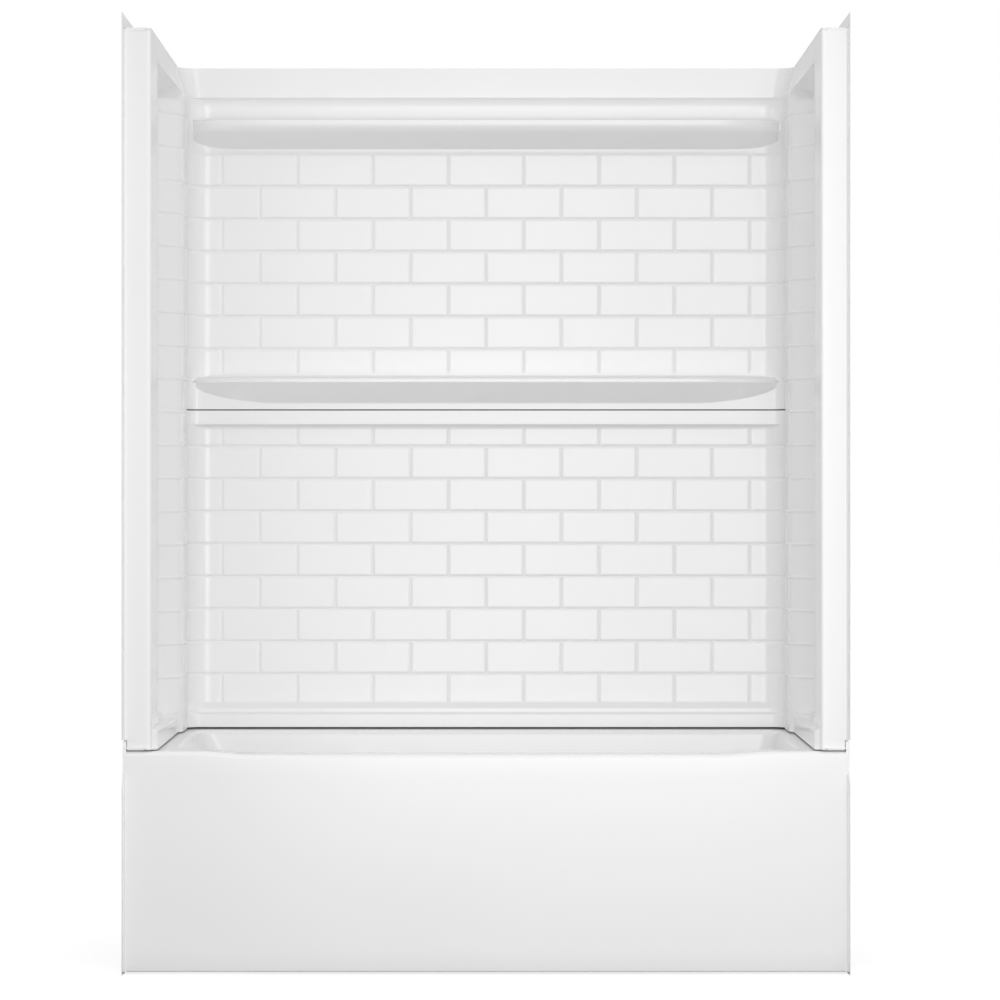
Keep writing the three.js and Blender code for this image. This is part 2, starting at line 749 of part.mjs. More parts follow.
function bathShell() {
  const side = sideFlange();
  const backFlange = block(
    [-studX, studY - flange.thickness, deck.frontHeight - deck.upstand],
    [studX, studY, upstandTop + deck.rise],
  );
  const pad = pillar(drainX, centreY, drain.seatRadius + basin.shell, drainSeat - basin.shell, drainSeat);
  const sunk = pillar(drainX, centreY, drain.seatRadius, drainSeat, basin.floorHeight);
  const bore = pillar(drainX, centreY, drain.radius, 0, basin.floorHeight);
  const wide = drain.overflowRadius;
  const overflow = new THREE.CylinderGeometry(wide, wide, basin.rimRight, arcSteps.hole);
  overflow.rotateZ(Math.PI / 2);
  overflow.translate(rimOutline.right - basin.edge, centreY, deck.frontHeight - drain.overflowBelow);
  return union([bathBody().subtract(underside()), pad, side, side.mirror([1, 0, 0]), backFlange]).subtract(
    union([sunk, bore, toSolid(overflow)]),
  );
}

// Base, bracing, seals and clips

const boardTop = basin.floorHeight - basin.floorFall - basin.shell - fit.touch;
const boardBottom = boardTop - base.boardThickness;
const boardLeft = wallFoot.left + base.boardInset;
const boardRight = wallFoot.right - base.boardInset;
const boardHalf = (wallFoot.back - wallFoot.front) / 2 - base.boardInset;
const runnerOffset = boardHalf - base.runnerInset;

function floorBoard() {
  const board = block(
    [boardLeft, centreY - boardHalf, boardBottom],
    [boardRight, centreY + boardHalf, boardTop],
  );
  return board.subtract(pillar(drainX, centreY, base.drainCutout, 0, basin.floorHeight));
}

function floorRunner(offset) {
  const right = offset === 0 ? drainX - base.drainCutout - base.boardInset : boardRight;
  const half = base.runnerWidth / 2;
  return block(
    [boardLeft, centreY + offset - half, 0],
    [right, centreY + offset + half, boardBottom - fit.touch],
  );
}

const railTop = deck.frontHeight - deck.dip - basin.shell - fit.touch;
const innerFace = faceY + basin.shell + fit.touch;

function rimBoard() {
  const front = innerFace + basin.shell;
  const half = studX - base.railInset;
  return block([-half, front, railTop - base.railHeight], [half, front + base.railThickness, railTop]);
}

function apronBrace(x) {
  return block(
    [x - base.postWidth / 2, innerFace, base.postLift],
    [x + base.postWidth / 2, innerFace + base.postThickness, railTop - base.railHeight - fit.touch],
  );
}

// A strip between two level faces that follows a plan line. The room lies to the right of the line.
function bead(line, low, high) {
  const near = beside(line, seal.setback);
  const far = beside(line, seal.setback + seal.width).reverse();
  const outline = [...near, ...far];
  return loft([atHeight(outline, low), atHeight(outline, high)]);
}

const insideSill = { low: (y) => deckAt(y) + fit.touch, high: (y) => footAt(y) - fit.touch };

function backSillSeal() {
  const face = backFace(levels.lip.side, levels.lip.back, levels.lip.cove);
  return bead(face, insideSill.low, insideSill.high);
}

function leftSillSeal() {
  const face = endFace(endPlan.lip).slice(0, endStations().length).reverse();
  return bead(face, insideSill.low, insideSill.high);
}

function midWallSeal() {
  const face = backFace(levels.band.side, levels.band.back, levels.band.cove);
  const half = fit.seamGap / 2 - fit.touch;
  return bead(face, band.seamHeight - half, band.seamHeight + half);
}

function leftCornerSeal() {
  const half = fit.cornerGap / 2 - fit.touch;
  const near = -columnX - seal.setback;
  return block(
    [near - seal.width, seamY - half, footAt(seamY) + fit.sillGap],
    [near, seamY + half, wallTop - fit.sillGap],
  );
}

// A spring clip: a channel of thin sheet whose two legs squeeze the returns on both sides of a joint.
function clipShape(gap) {
  const half = gap / 2 + wall.skin + fit.touch;
  const outline = [
    [-clip.sheet, -half - clip.sheet],
    [clip.depth, -half - clip.sheet],
    [clip.depth, -half],
    [0, -half],
    [0, half],
    [clip.depth, half],
    [clip.depth, half + clip.sheet],
    [-clip.sheet, half + clip.sheet],
  ];
  const shape = new THREE.Shape(outline.map(([x, y]) => new THREE.Vector2(x, y)));
  const geometry = new THREE.ExtrudeGeometry(shape, { depth: clip.length, bevelEnabled: false });
  geometry.translate(0, 0, -clip.length / 2);
  return toGeometry(toSolid(geometry));
}

// Assembly

const model = new THREE.Group();

function add(name, geometry, material) {
  const mesh = new THREE.Mesh(geometry, material);
  mesh.name = name;
  model.add(mesh);
  return mesh;
}

// Adds a left piece and its mirrored twin at the right end.
function addPair(name, solid, material) {
  add(`left_${name}`, toGeometry(solid), material);
  add(`right_${name}`, toGeometry(solid.mirror([1, 0, 0])), material);
}

add("bath_shell", toGeometry(bathShell()), glossWhite);
add("lower_back_wall", toGeometry(lowerBackWall()), glossWhite);
add("upper_back_wall", toGeometry(upperBackWall()), glossWhite);
addPair("end_wall", leftEndWall(), glossWhite);

add("floor_board", toGeometry(floorBoard()), paleWood);
add("floor_runner_front", toGeometry(floorRunner(-runnerOffset)), paleWood);
add("floor_runner_middle", toGeometry(floorRunner(0)), paleWood);
add("floor_runner_back", toGeometry(floorRunner(runnerOffset)), paleWood);
add("front_rim_board", toGeometry(rimBoard()), paleWood);
addPair("apron_brace", apronBrace(base.postInset - studX), paleWood);

add("back_sill_seal", toGeometry(backSillSeal()), greySeal);
add("mid_wall_seal", toGeometry(midWallSeal()), greySeal);
addPair("sill_seal", leftSillSeal(), greySeal);
addPair("corner_seal", leftCornerSeal(), greySeal);

// Corner clips sit on the outer ends of the returns, and seam clips on their rear ends.
const cornerClipX = rearX + clip.returnDepth + fit.touch;
const lowerWallFoot = footAt(seamY);
const cornerHeights = [
  ...clip.heightShares.map((share) => mix(lowerWallFoot, band.seamHeight, share)),
  ...clip.heightShares.map((share) => mix(band.seamHeight, wallTop, share)),
];
cornerHeights.forEach((z, i) => {
  for (const side of ["left", "right"]) {
    const mesh = add(`${side}_corner_clip_${i + 1}`, clipShape(fit.cornerGap), zincSteel);
    mesh.position.set(side === "left" ? -cornerClipX : cornerClipX, seamY, z);
    mesh.rotation.z = side === "left" ? 0 : Math.PI;
  }
});

const seamNames = ["left", "middle", "right"];
clip.seamShares.forEach((share, i) => {
  const mesh = add(`${seamNames[i]}_seam_clip`, clipShape(fit.seamGap), zincSteel);
  mesh.rotation.set(0, -Math.PI / 2, -Math.PI / 2);
  mesh.position.set(share * shelfReach, railY + clip.seamReturn + fit.touch, band.seamHeight);
});

export default model;
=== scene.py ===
import math

import bmesh
import bpy
import numpy as np
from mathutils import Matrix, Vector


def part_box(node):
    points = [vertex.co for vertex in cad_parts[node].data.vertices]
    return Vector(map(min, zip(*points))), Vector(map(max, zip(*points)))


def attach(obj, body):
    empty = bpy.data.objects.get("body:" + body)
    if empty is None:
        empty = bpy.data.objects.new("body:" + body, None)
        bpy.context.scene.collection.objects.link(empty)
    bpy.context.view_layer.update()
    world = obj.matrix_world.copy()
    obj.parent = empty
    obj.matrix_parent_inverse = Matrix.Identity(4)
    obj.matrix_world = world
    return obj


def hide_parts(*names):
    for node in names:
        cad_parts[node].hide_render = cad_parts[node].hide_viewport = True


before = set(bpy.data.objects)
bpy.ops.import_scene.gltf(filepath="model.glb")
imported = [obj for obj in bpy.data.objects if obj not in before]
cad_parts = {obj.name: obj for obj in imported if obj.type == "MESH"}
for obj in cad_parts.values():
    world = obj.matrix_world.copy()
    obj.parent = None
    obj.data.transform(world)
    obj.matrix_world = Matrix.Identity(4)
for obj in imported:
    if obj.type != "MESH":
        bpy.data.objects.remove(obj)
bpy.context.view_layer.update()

# The bath: one piece of moulded composite with its apron, glossy and solid white all through.
# It is pressed in a mould, so every edge is rounded and the sheet has one thickness.
# The rim dips along the front, the left end is sloped to lean on, and the waste is at the right.

MM = 0.001
STUD_X, STUD_Y = 762.0, 406.5
FACE_Y = -381.5
FLANGE = 3.0
FLANGE_X = STUD_X - FLANGE
FLANGE_FRONT = -406.5
DECK_FRONT = 467.5
PLINTH_BACK = 367.0
DECK_SLOPE = 8.0 / (PLINTH_BACK - FACE_Y)
SILL_GAP = 5.0


def linear(colour):
    """An sRGB colour written as hex, turned to linear."""
    channels = [int(colour[i : i + 2], 16) / 255 for i in (1, 3, 5)]
    return [c / 12.92 if c <= 0.04045 else ((c + 0.055) / 1.055) ** 2.4 for c in channels] + [1.0]


def node(tree, kind, inputs=(), **settings):
    """Adds a node, with its settings, and its inputs by name or number: a value, or a socket to link."""
    made = tree.nodes.new(kind)
    for key, value in settings.items():
        setattr(made, key, value)
    for key, value in dict(inputs).items():
        if isinstance(value, bpy.types.NodeSocket):
            tree.links.new(value, made.inputs[key])
        else:
            made.inputs[key].default_value = value
    return made


def mixed_colour(tree, share, low, high):
    """A colour between two others, by a socket that carries the share of the second."""
    return node(tree, "ShaderNodeMix", {"Factor": share, "A": low, "B": high}, data_type="RGBA").outputs[2]


def new_material(name):
    material = bpy.data.materials.new(name)
    material.use_nodes = True
    tree = material.node_tree
    tree.nodes.clear()
    return material, tree


# Gel-coated moulding compound. Solid white that is a trace lighter and darker in places, glossy, with a very
# slight orange peel from the mould that breaks up the edges of its reflections.
composite, tree = new_material("gloss_white_moulding_compound")
where = node(tree, "ShaderNodeTexCoord")
cloud = node(
    tree,
    "ShaderNodeTexNoise",
    {"Vector": where.outputs["Object"], "Scale": 2.2, "Detail": 2.0, "Roughness": 0.4},
)
tint = mixed_colour(tree, cloud.outputs["Fac"], linear("#F4F4F4"), linear("#F6F6F6"))
PEEL_MM = 5.0
peel = node(tree, "ShaderNodeTexNoise", {"Vector": where.outputs["Object"], "Scale": 1000 / PEEL_MM, "Detail": 1.0})
gloss = node(
    tree,
    "ShaderNodeMapRange",
    {"Value": cloud.outputs["Fac"], "From Min": 0.3, "From Max": 0.7, "To Min": 0.2, "To Max": 0.26},
)
bumps = node(tree, "ShaderNodeBump", {"Height": peel.outputs["Fac"], "Strength": 0.05, "Distance": 0.0002})
skin = node(
    tree,
    "ShaderNodeBsdfPrincipled",
    {
        "Base Color": tint,
        "Roughness": gloss.outputs["Result"],
        "IOR": 1.5,
        "Normal": bumps.outputs["Normal"],
    },
)
node(tree, "ShaderNodeOutputMaterial", {"Surface": skin.outputs["BSDF"]})


def smooth(t):
    t = np.clip(t, 0, 1)
    return t * t * (3 - 2 * t)


def arc(cx, cy, radius, start, end, steps):
    """Points of an arc, by its angles in degrees, both ends included."""
    turn = np.radians(np.linspace(start, end, steps + 1))
    return np.stack([cx + radius * np.cos(turn), cy + radius * np.sin(turn)], axis=1)


def sheet_mesh(name, front, quads, thickness, material, relief=None):
    """A closed moulded sheet: the front skin, a back skin behind it, and the rim that joins them. `front` is in
    millimetres, `quads` are faces of the front skin that look at the room."""
    used = np.unique([i for quad in quads for i in quad])
    place = np.zeros(len(front), int)
    place[used] = np.arange(len(used))
    faces = [tuple(int(place[i]) for i in quad) for quad in quads]
    front = front[used]
    count = len(front)
    skin_mesh = bpy.data.meshes.new(name + "_front")
    skin_mesh.from_pydata(front * MM, [], faces)
    skin_mesh.update()
    normals = np.zeros(count * 3)
    skin_mesh.vertex_normals.foreach_get("vector", normals)
    bpy.data.meshes.remove(skin_mesh)
    back = front - normals.reshape(-1, 3) * thickness
    edges = set()
    for quad in faces:
        edges.update(zip(quad, quad[1:] + quad[:1]))
    rim = [(b, a) for a, b in edges if (b, a) not in edges]
    closed = faces + [tuple(i + count for i in reversed(face)) for face in faces]
    closed += [(a, b, b + count, a + count) for a, b in sorted(rim)]
    mesh = bpy.data.meshes.new(name)
    mesh.from_pydata(np.concatenate([front, back]) * MM, [], closed)
    for key, values in (relief or {}).items():
        values = values[used]
        whole = np.concatenate([values, values * 0]).ravel()
        if values.ndim == 1:
            mesh.attributes.new(key, "FLOAT", "POINT").data.foreach_set("value", whole)
        else:
            mesh.attributes.new(key, "FLOAT_VECTOR", "POINT").data.foreach_set("vector", whole)
    piece = bpy.data.objects.new(name, mesh)
    bpy.context.scene.collection.objects.link(piece)
    mesh.materials.append(material)
    return piece


SHARP = 38


def clean(piece):
    """Merges doubled points, drops faces with no area, and shades smooth but for folds sharper than SHARP degrees."""
    work = bmesh.new()
    work.from_mesh(piece.data)
    bmesh.ops.remove_doubles(work, verts=work.verts, dist=2e-6)
    bmesh.ops.dissolve_degenerate(work, edges=work.edges, dist=2e-6)
    work.to_mesh(piece.data)
    work.free()
    piece.data.polygons.foreach_set("use_smooth", [True] * len(piece.data.polygons))
    piece.data.set_sharp_from_angle(angle=math.radians(SHARP))
    piece.data.update()
    return piece


def merge(piece, *others):
    """Joins the meshes of other objects to a piece."""
    work = bmesh.new()
    for source in (piece, *others):
        work.from_mesh(source.data)
    work.to_mesh(piece.data)
    work.free()
    for source in others:
        bpy.data.objects.remove(source)
    return piece


def plate(name, outline, axis, low, high, material, bevel=0.8):
    """A flat plate with softened edges: an outline in the two other axes, raised along one axis, in millimetres."""
    work = bmesh.new()
    rings = []
    for level in (low, high):
        ring = []
        for a, b in outline:
            place = {"x": (level, a, b), "y": (a, level, b), "z": (a, b, level)}[axis]
            ring.append(work.verts.new([v * MM for v in place]))
        rings.append(ring)
    work.faces.new(rings[0])
    work.faces.new(rings[1])
    for i, vert in enumerate(rings[0]):
        j = (i + 1) % len(outline)
        work.faces.new((vert, rings[0][j], rings[1][j], rings[1][i]))
    bmesh.ops.recalc_face_normals(work, faces=work.faces)
    if bevel:
        how = dict(offset=bevel * MM, segments=2, profile=0.5, affect="EDGES", clamp_overlap=True)
        bmesh.ops.bevel(work, geom=work.edges[:], **how)
    mesh = bpy.data.meshes.new(name)
    work.to_mesh(mesh)
    work.free()
    mesh.materials.append(material)
    piece = bpy.data.objects.new(name, mesh)
    bpy.context.scene.collection.objects.link(piece)
    return piece


def deck_at(y):
    return DECK_FRONT + (y - FACE_Y) * DECK_SLOPE


RIM = dict(left=-664.0, right=672.0, front=-313.5, back=344.5, radius=50.0)
RIM_EDGE = 14.0
FOOT = dict(left=-485.0, right=596.0, front=-251.5, back=282.5, radius=88.0)
FLOOR_HEIGHT = 72.0
FLOOR_FALL = 7.0
FOOT_COVE = 70.0
NOSE = 11.0
DIP, DIP_HALF, DIP_RUN = 7.0, 495.0, 105.0
APRON_LOW, APRON_ROUND = 5.0, 3.0
DRAIN_X, DRAIN_Y = 517.0, 15.5
DRAIN_PROFILE = ((44.0, 0.0), (41.0, -0.8), (33.0, -2.4), (29.0, -2.8), (26.8, -3.4), (26.0, -5.0), (26.0, -8.0))
OVERFLOW_Z, OVERFLOW_RADIUS = 372.5, 25.0
OVERFLOW_CUT = 600.0, 720.0
SHELL = 5.0
CORNER_STEPS, LONG_STEPS, SHORT_STEPS = 16, 56, 14


def dip_at(x):
    return DIP * (1 - smooth((np.abs(x) - DIP_HALF) / DIP_RUN))


def rounded(left, right, front, back, radius):
    """A rounded rectangle from above, starting at the front's left end, the same number of points each time."""
    long_share = np.linspace(0, 1, LONG_STEPS + 1)[1:-1]
    short_share = np.linspace(0, 1, SHORT_STEPS + 1)[1:-1]
    xs = left + radius + (right - left - 2 * radius) * long_share
    ys = front + radius + (back - front - 2 * radius) * short_share
    return np.concatenate(
        [
            np.stack([xs, np.full_like(xs, front)], axis=1),
            arc(right - radius, front + radius, radius, -90, 0, CORNER_STEPS),
            np.stack([np.full_like(ys, right), ys], axis=1),
            arc(right - radius, back - radius, radius, 0, 90, CORNER_STEPS),
            np.stack([xs[::-1], np.full_like(xs, back)], axis=1),
            arc(left + radius, back - radius, radius, 90, 180, CORNER_STEPS),
            np.stack([np.full_like(ys, left), ys[::-1]], axis=1),
            arc(left + radius, front + radius, radius, 180, 270, CORNER_STEPS),
        ]
    )


def shrink(box, by):
    """The rounded rectangle drawn in by a width all round."""
    grows = dict(left=1, right=-1, front=1, back=-1, radius=-1)
    return {key: box[key] + sign * by for key, sign in grows.items()}


def blend_box(a, b, t):
    return {key: a[key] + (b[key] - a[key]) * t for key in a}


def deck_top(x, y):
    """Height of the deck, lower along the middle of the front rim."""
    return deck_at(y) - dip_at(x) * (1 - smooth((y - RIM["front"]) / DIP_RUN))


def bath_rings():
    """Rings of the bath's skin: the deck, the rim's round edge, the sloped side, its cove, the floor and the drain."""
    rings = []
    outer = dict(left=-FLANGE_X, right=FLANGE_X, front=FACE_Y + NOSE, back=STUD_Y - FLANGE, radius=1.0)
    for t in np.linspace(0, 1, 7):
        xy = rounded(**blend_box(outer, RIM, t))
        rings.append(np.column_stack([xy, deck_top(xy[:, 0], xy[:, 1])]))
    for turn in np.radians(np.linspace(0, 90, 9)[1:]):
        xy = rounded(**shrink(RIM, RIM_EDGE * math.sin(turn)))
        drop = RIM_EDGE * (1 - math.cos(turn))
        rings.append(np.column_stack([xy, deck_top(xy[:, 0], xy[:, 1]) - drop]))
    neck = shrink(RIM, RIM_EDGE)
    cove_share = FOOT_COVE / (DECK_FRONT - RIM_EDGE - FLOOR_HEIGHT)
    neck_z = rings[-1][:, 2]
    for t in np.linspace(0, 1, 9)[1:]:
        xy = rounded(**blend_box(neck, FOOT, t * (1 - cove_share)))
        rings.append(np.column_stack([xy, neck_z + (floor_at(xy[:, 0]) + FOOT_COVE - neck_z) * t]))
    for turn in np.radians(np.linspace(0, 90, 11)[1:]):
        box = shrink(
            blend_box(neck, FOOT, 1 - cove_share * (1 - math.sin(turn))), FOOT_COVE / 2 * (1 - math.cos(turn))
        )
        xy = rounded(**box)
        rings.append(np.column_stack([xy, floor_at(xy[:, 0]) + FOOT_COVE * (1 - math.sin(turn))]))
    foot = rings[-1]
    centre = np.array([DRAIN_X, DRAIN_Y])
    away = foot[:, :2] - centre
    angle = np.unwrap(np.arctan2(away[:, 1], away[:, 0]))
    even = angle[0] + np.linspace(0, 2 * math.pi, len(angle), endpoint=False)
    for share in (0.75, 0.5, 0.3):
        xy = centre + away * share
        rings.append(np.column_stack([xy, floor_at(xy[:, 0])]))
    for radius, dish in DRAIN_PROFILE:
        xy = centre + radius * np.column_stack([np.cos(even), np.sin(even)])
        rings.append(np.column_stack([xy, np.full(len(xy), floor_at(DRAIN_X) + dish)]))
    return rings


def floor_at(x):
    return FLOOR_HEIGHT - FLOOR_FALL * (x - FOOT["left"]) / (FOOT["right"] - FOOT["left"])


rings = bath_rings()
around = len(rings[0])
points = np.concatenate(rings)
quads = []
for r in range(len(rings) - 1):
    for i in range(around):
        j = (i + 1) % around
        quads.append((r * around + i, r * around + j, (r + 1) * around + j, (r + 1) * around + i))
# the apron: rows under the front edge of the deck, from one front corner to the other
front_columns = list(range(around - CORNER_STEPS - 1, around)) + list(range(LONG_STEPS + CORNER_STEPS))
apron_rows = []
edge = points[front_columns]
for turn in np.radians(np.linspace(90, 0, 9)[1:]):
    row = edge.copy()
    row[:, 1] = FACE_Y + NOSE * (1 - math.cos(turn))
    row[:, 2] = edge[:, 2] - NOSE * (1 - math.sin(turn))
    apron_rows.append(row)
under_nose = apron_rows[-1]
for t in np.linspace(0, 1, 13)[1:]:
    row = under_nose.copy()
    row[:, 2] += (APRON_LOW + APRON_ROUND - row[:, 2]) * t
    apron_rows.append(row)
for turn in np.radians(np.linspace(0, 90, 5)[1:]):
    row = edge.copy()
    row[:, 1] = FACE_Y + APRON_ROUND * (1 - math.cos(turn))
    row[:, 2] = APRON_LOW + APRON_ROUND * (1 - math.sin(turn))
    apron_rows.append(row)
start, width = len(points), len(front_columns)
points = np.concatenate([points, *apron_rows])
above = front_columns
for r in range(len(apron_rows)):
    here = list(range(start + r * width, start + (r + 1) * width))
    quads += [(here[i], here[i + 1], above[i + 1], above[i]) for i in range(width - 1)]
    above = here
bath = clean(sheet_mesh("bath", points, quads, SHELL, composite))

# the overflow hole through the drain end
circle = arc(DRAIN_Y, OVERFLOW_Z, OVERFLOW_RADIUS, 0, 352.5, 47)
overflow = plate("overflow_cutter", circle, "x", *OVERFLOW_CUT, composite, bevel=0)
bore = bath.modifiers.new("overflow_hole", "BOOLEAN")
bore.operation, bore.solver, bore.object = "DIFFERENCE", "EXACT", overflow
bored = bpy.data.meshes.new_from_object(bath.evaluated_get(bpy.context.evaluated_depsgraph_get()))
bath.modifiers.clear()
bath.data = bored
bpy.data.objects.remove(overflow)
clean(bath)

# the flanges that the walls lap over, the part beside the apron that is nailed to the stud, with a fillet to the
# apron, and the post that the end wall's foot stands against
UPSTAND, UPSTAND_BACK = 488.5, 496.5
UNDER_DECK = 446.5
APRON_FLANGE_BACK = -261.5
SHOULDER_LOW, SHOULDER_HIGH = 400.0, 425.0
FILLET, FILLET_TOP, FILLET_LAP = 5.2, 419.0, 1.5
POST_X, POST_LOW = 754.6, 430.0
side_outline = [
    (FLANGE_FRONT, 0.0),
    (FLANGE_FRONT, SHOULDER_LOW),
    (FACE_Y, SHOULDER_HIGH),
    (FACE_Y, UPSTAND),
    (STUD_Y, UPSTAND_BACK),
    (STUD_Y, UNDER_DECK),
    (APRON_FLANGE_BACK, UNDER_DECK),
    (APRON_FLANGE_BACK, 0.0),
]


def fillet_strip(name, side, low, high, behind):
    """A hollow fillet between a face that looks at the room and the nailing flange ahead of it."""
    room_x, lap_x = -FLANGE_X + FILLET, -FLANGE_X - FILLET_LAP
    turned = arc(room_x, FACE_Y - FILLET, FILLET, 90, 180, 7)
    inner = [(lap_x, FACE_Y - FILLET), (lap_x, FACE_Y + behind), (room_x, FACE_Y + behind)]
    outline = [(-side * x, y) for x, y in [*turned, *inner]]
    return plate(name, outline, "z", low, high, composite, bevel=0)


def mirrored_span(side, near, far):
    return sorted((side * near, side * far))


TIP_THINNING = 0.6


def thin_tip(flange):
    """Draws a nailing flange thinner towards its free front edge, on the side that looks at the room."""
    for vert in flange.data.vertices:
        ahead = min(max((FACE_Y * MM - vert.co.y) / ((FACE_Y - FLANGE_FRONT) * MM), 0.0), 1.0)
        inward = STUD_X * MM - abs(vert.co.x)
        vert.co.x = math.copysign(STUD_X * MM - inward * (1 - TIP_THINNING * ahead), vert.co.x)
    return flange


ends = []
for side in (-1, 1):
    ends.append(thin_tip(plate("end_flange", side_outline, "x", *mirrored_span(side, FLANGE_X, STUD_X), composite)))
    ends.append(fillet_strip("apron_fillet", side, APRON_LOW, FILLET_TOP, 2.5))
    low_x, high_x = mirrored_span(side, POST_X, STUD_X - 0.4)
    post = [(low_x, POST_LOW), (high_x, POST_LOW), (high_x, UPSTAND - 0.4), (low_x, UPSTAND - 0.4)]
    ends.append(plate("post", post, "y", FACE_Y + 0.3, FACE_Y + 8.0, composite))
back_outline = [(-STUD_X, UNDER_DECK), (STUD_X, UNDER_DECK), (STUD_X, UPSTAND_BACK), (-STUD_X, UPSTAND_BACK)]
ends.append(plate("back_flange", back_outline, "y", STUD_Y - FLANGE, STUD_Y, composite))
for end in ends:
    clean(end)
merge(bath, *ends)
bath.data.set_sharp_from_angle(angle=math.radians(SHARP))
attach(bath, "root")
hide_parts("bath_shell")

# The back wall in two pieces, lower and upper: thin moulded trays with a relief of subway tiles on the face,
# returns round their edges, a band and a rail, and two shelves that are moulded with the upper piece.
# The joints between the tiles are sunk into the sheet, half a tile further along in every second row.

# X: columns, rear corners, the end walls' plinth, the ends of the returns. Y: rail and band, tiles, upright
# corner joint.
COLUMN_X, REAR_X, PLINTH_X, RETURN_X = 702.5, 680.0, 690.0, 746.0
RAIL_Y, TILE_Y, SEAM_Y = 379.5, 396.5, 335.0
CORNER_GAP, EDGE = 0.2, 0.35
SKIN = 3.5
TILE_LENGTH, TILE_HEIGHT, FIRST_JOINT = 172.3, 74.25, 600.8
JOINT_WIDTH, JOINT_DEPTH = 9.0, 2.2
JOINT_LINES = np.array([-6.2, -4.5, -3.2, -1.6, 0.0, 1.6, 3.2, 4.5, 6.2])
# plans of the back wall: X of its corner, Y of its face, and the radius between them
LEVELS = {
    "tiles": (REAR_X, TILE_Y, 50.0),
    "rail": (REAR_X, RAIL_Y, 30.0),
    "rail_top": (COLUMN_X, RAIL_Y, 44.0),
    "band": (REAR_X, RAIL_Y, 24.0),
    "plinth": (REAR_X, PLINTH_BACK, 31.0),
}

# Geometry Nodes: sinks the joints into a sheet whose points carry their place along and up the wall
relief = bpy.data.node_groups.new("tile_joints", "GeometryNodeTree")
relief.interface.new_socket("Geometry", in_out="INPUT", socket_type="NodeSocketGeometry")
for label, value in (
    ("Tile length", TILE_LENGTH * MM),
    ("Tile height", TILE_HEIGHT * MM),
    ("First joint", FIRST_JOINT * MM),
    ("Joint width", JOINT_WIDTH * MM),
    ("Joint depth", JOINT_DEPTH * MM),
):
    relief.interface.new_socket(label, in_out="INPUT", socket_type="NodeSocketFloat").default_value = value
relief.interface.new_socket("Material", in_out="INPUT", socket_type="NodeSocketMaterial")
relief.interface.new_socket("Geometry", in_out="OUTPUT", socket_type="NodeSocketGeometry")
sizes = node(relief, "NodeGroupInput").outputs


def maths(kind, *values):
    return node(relief, "ShaderNodeMath", dict(enumerate(values)), operation=kind).outputs[0]


def carried(name, kind="FLOAT"):
    read = node(relief, "GeometryNodeInputNamedAttribute", {"Name": name}, data_type=kind)
    return read.outputs["Attribute"]


rows_up = maths("DIVIDE", maths("SUBTRACT", carried("up"), sizes["First joint"]), sizes["Tile height"])
row = maths("FLOOR", rows_up)
share = maths("SUBTRACT", rows_up, row)
level_gap = maths("MULTIPLY", maths("MINIMUM", share, maths("SUBTRACT", 1.0, share)), sizes["Tile height"])
shift = maths("MULTIPLY", maths("FLOORED_MODULO", row, 2.0), 0.5)
tiles_along = maths("SUBTRACT", maths("DIVIDE", carried("along"), sizes["Tile length"]), shift)
off_joint = maths("ABSOLUTE", maths("SUBTRACT", tiles_along, maths("ROUND", tiles_along)))
no_upright = maths("SUBTRACT", 1.0, carried("upright"))
upright_gap = maths("ADD", maths("MULTIPLY", off_joint, sizes["Tile length"]), no_upright)
nearest = maths("MINIMUM", level_gap, upright_gap)
groove = node(
    relief,
    "ShaderNodeMapRange",
    {
        "Value": nearest,
        "From Min": maths("DIVIDE", sizes["Joint width"], 2.0),
        "From Max": 0.0,
        "To Min": 0.0,
        "To Max": 1.0,
    },
    interpolation_type="SMOOTHSTEP",
).outputs["Result"]
depth = maths("MULTIPLY", maths("MULTIPLY", groove, carried("field")), sizes["Joint depth"])
sink = node(
    relief,
    "ShaderNodeVectorMath",
    {0: carried("facing", "FLOAT_VECTOR"), "Scale": maths("MULTIPLY", depth, -1.0)},
    operation="SCALE",
)
moved = node(relief, "GeometryNodeSetPosition", {"Geometry": sizes["Geometry"], "Offset": sink.outputs["Vector"]})
real = node(relief, "GeometryNodeRealizeInstances", {"Geometry": moved.outputs["Geometry"]})
dressed = node(
    relief, "GeometryNodeSetMaterial", {"Geometry": real.outputs["Geometry"], "Material": sizes["Material"]}
)
node(relief, "NodeGroupOutput", {"Geometry": dressed.outputs["Geometry"]})


def sink_joints(piece):
    """Runs the tile joints on a wall and keeps the result as a plain mesh."""
    modifier = piece.modifiers.new("tile_joints", "NODES")
    modifier.node_group = relief
    for item in relief.interface.items_tree:
        if item.in_out == "INPUT" and item.socket_type == "NodeSocketFloat":
            modifier[item.identifier] = item.default_value
        if item.in_out == "INPUT" and item.socket_type == "NodeSocketMaterial":
            modifier[item.identifier] = composite
    plain = bpy.data.meshes.new_from_object(piece.evaluated_get(bpy.context.evaluated_depsgraph_get()))
    piece.modifiers.clear()
    old = piece.data
    piece.data = plain
    bpy.data.meshes.remove(old)
    for key in ("along", "up", "upright", "field", "facing"):
        if key in plain.attributes:
            plain.attributes.remove(plain.attributes[key])
    return clean(piece)


def foot_at(y):
    return deck_at(y) + SILL_GAP


def joint_rows(low, high):
    """Heights between two others, close together where a level joint is sunk."""
    first = math.ceil((low - FIRST_JOINT) / TILE_HEIGHT)
    last = math.floor((high - FIRST_JOINT) / TILE_HEIGHT)
    heights = [low, high]
    for k in range(first, last + 1):
        heights += list(FIRST_JOINT + k * TILE_HEIGHT + JOINT_LINES)
    for k in range(first - 1, last + 1):
        heights.append(FIRST_JOINT + (k + 0.5) * TILE_HEIGHT)
    return sorted(h for h in heights if low <= h <= high)


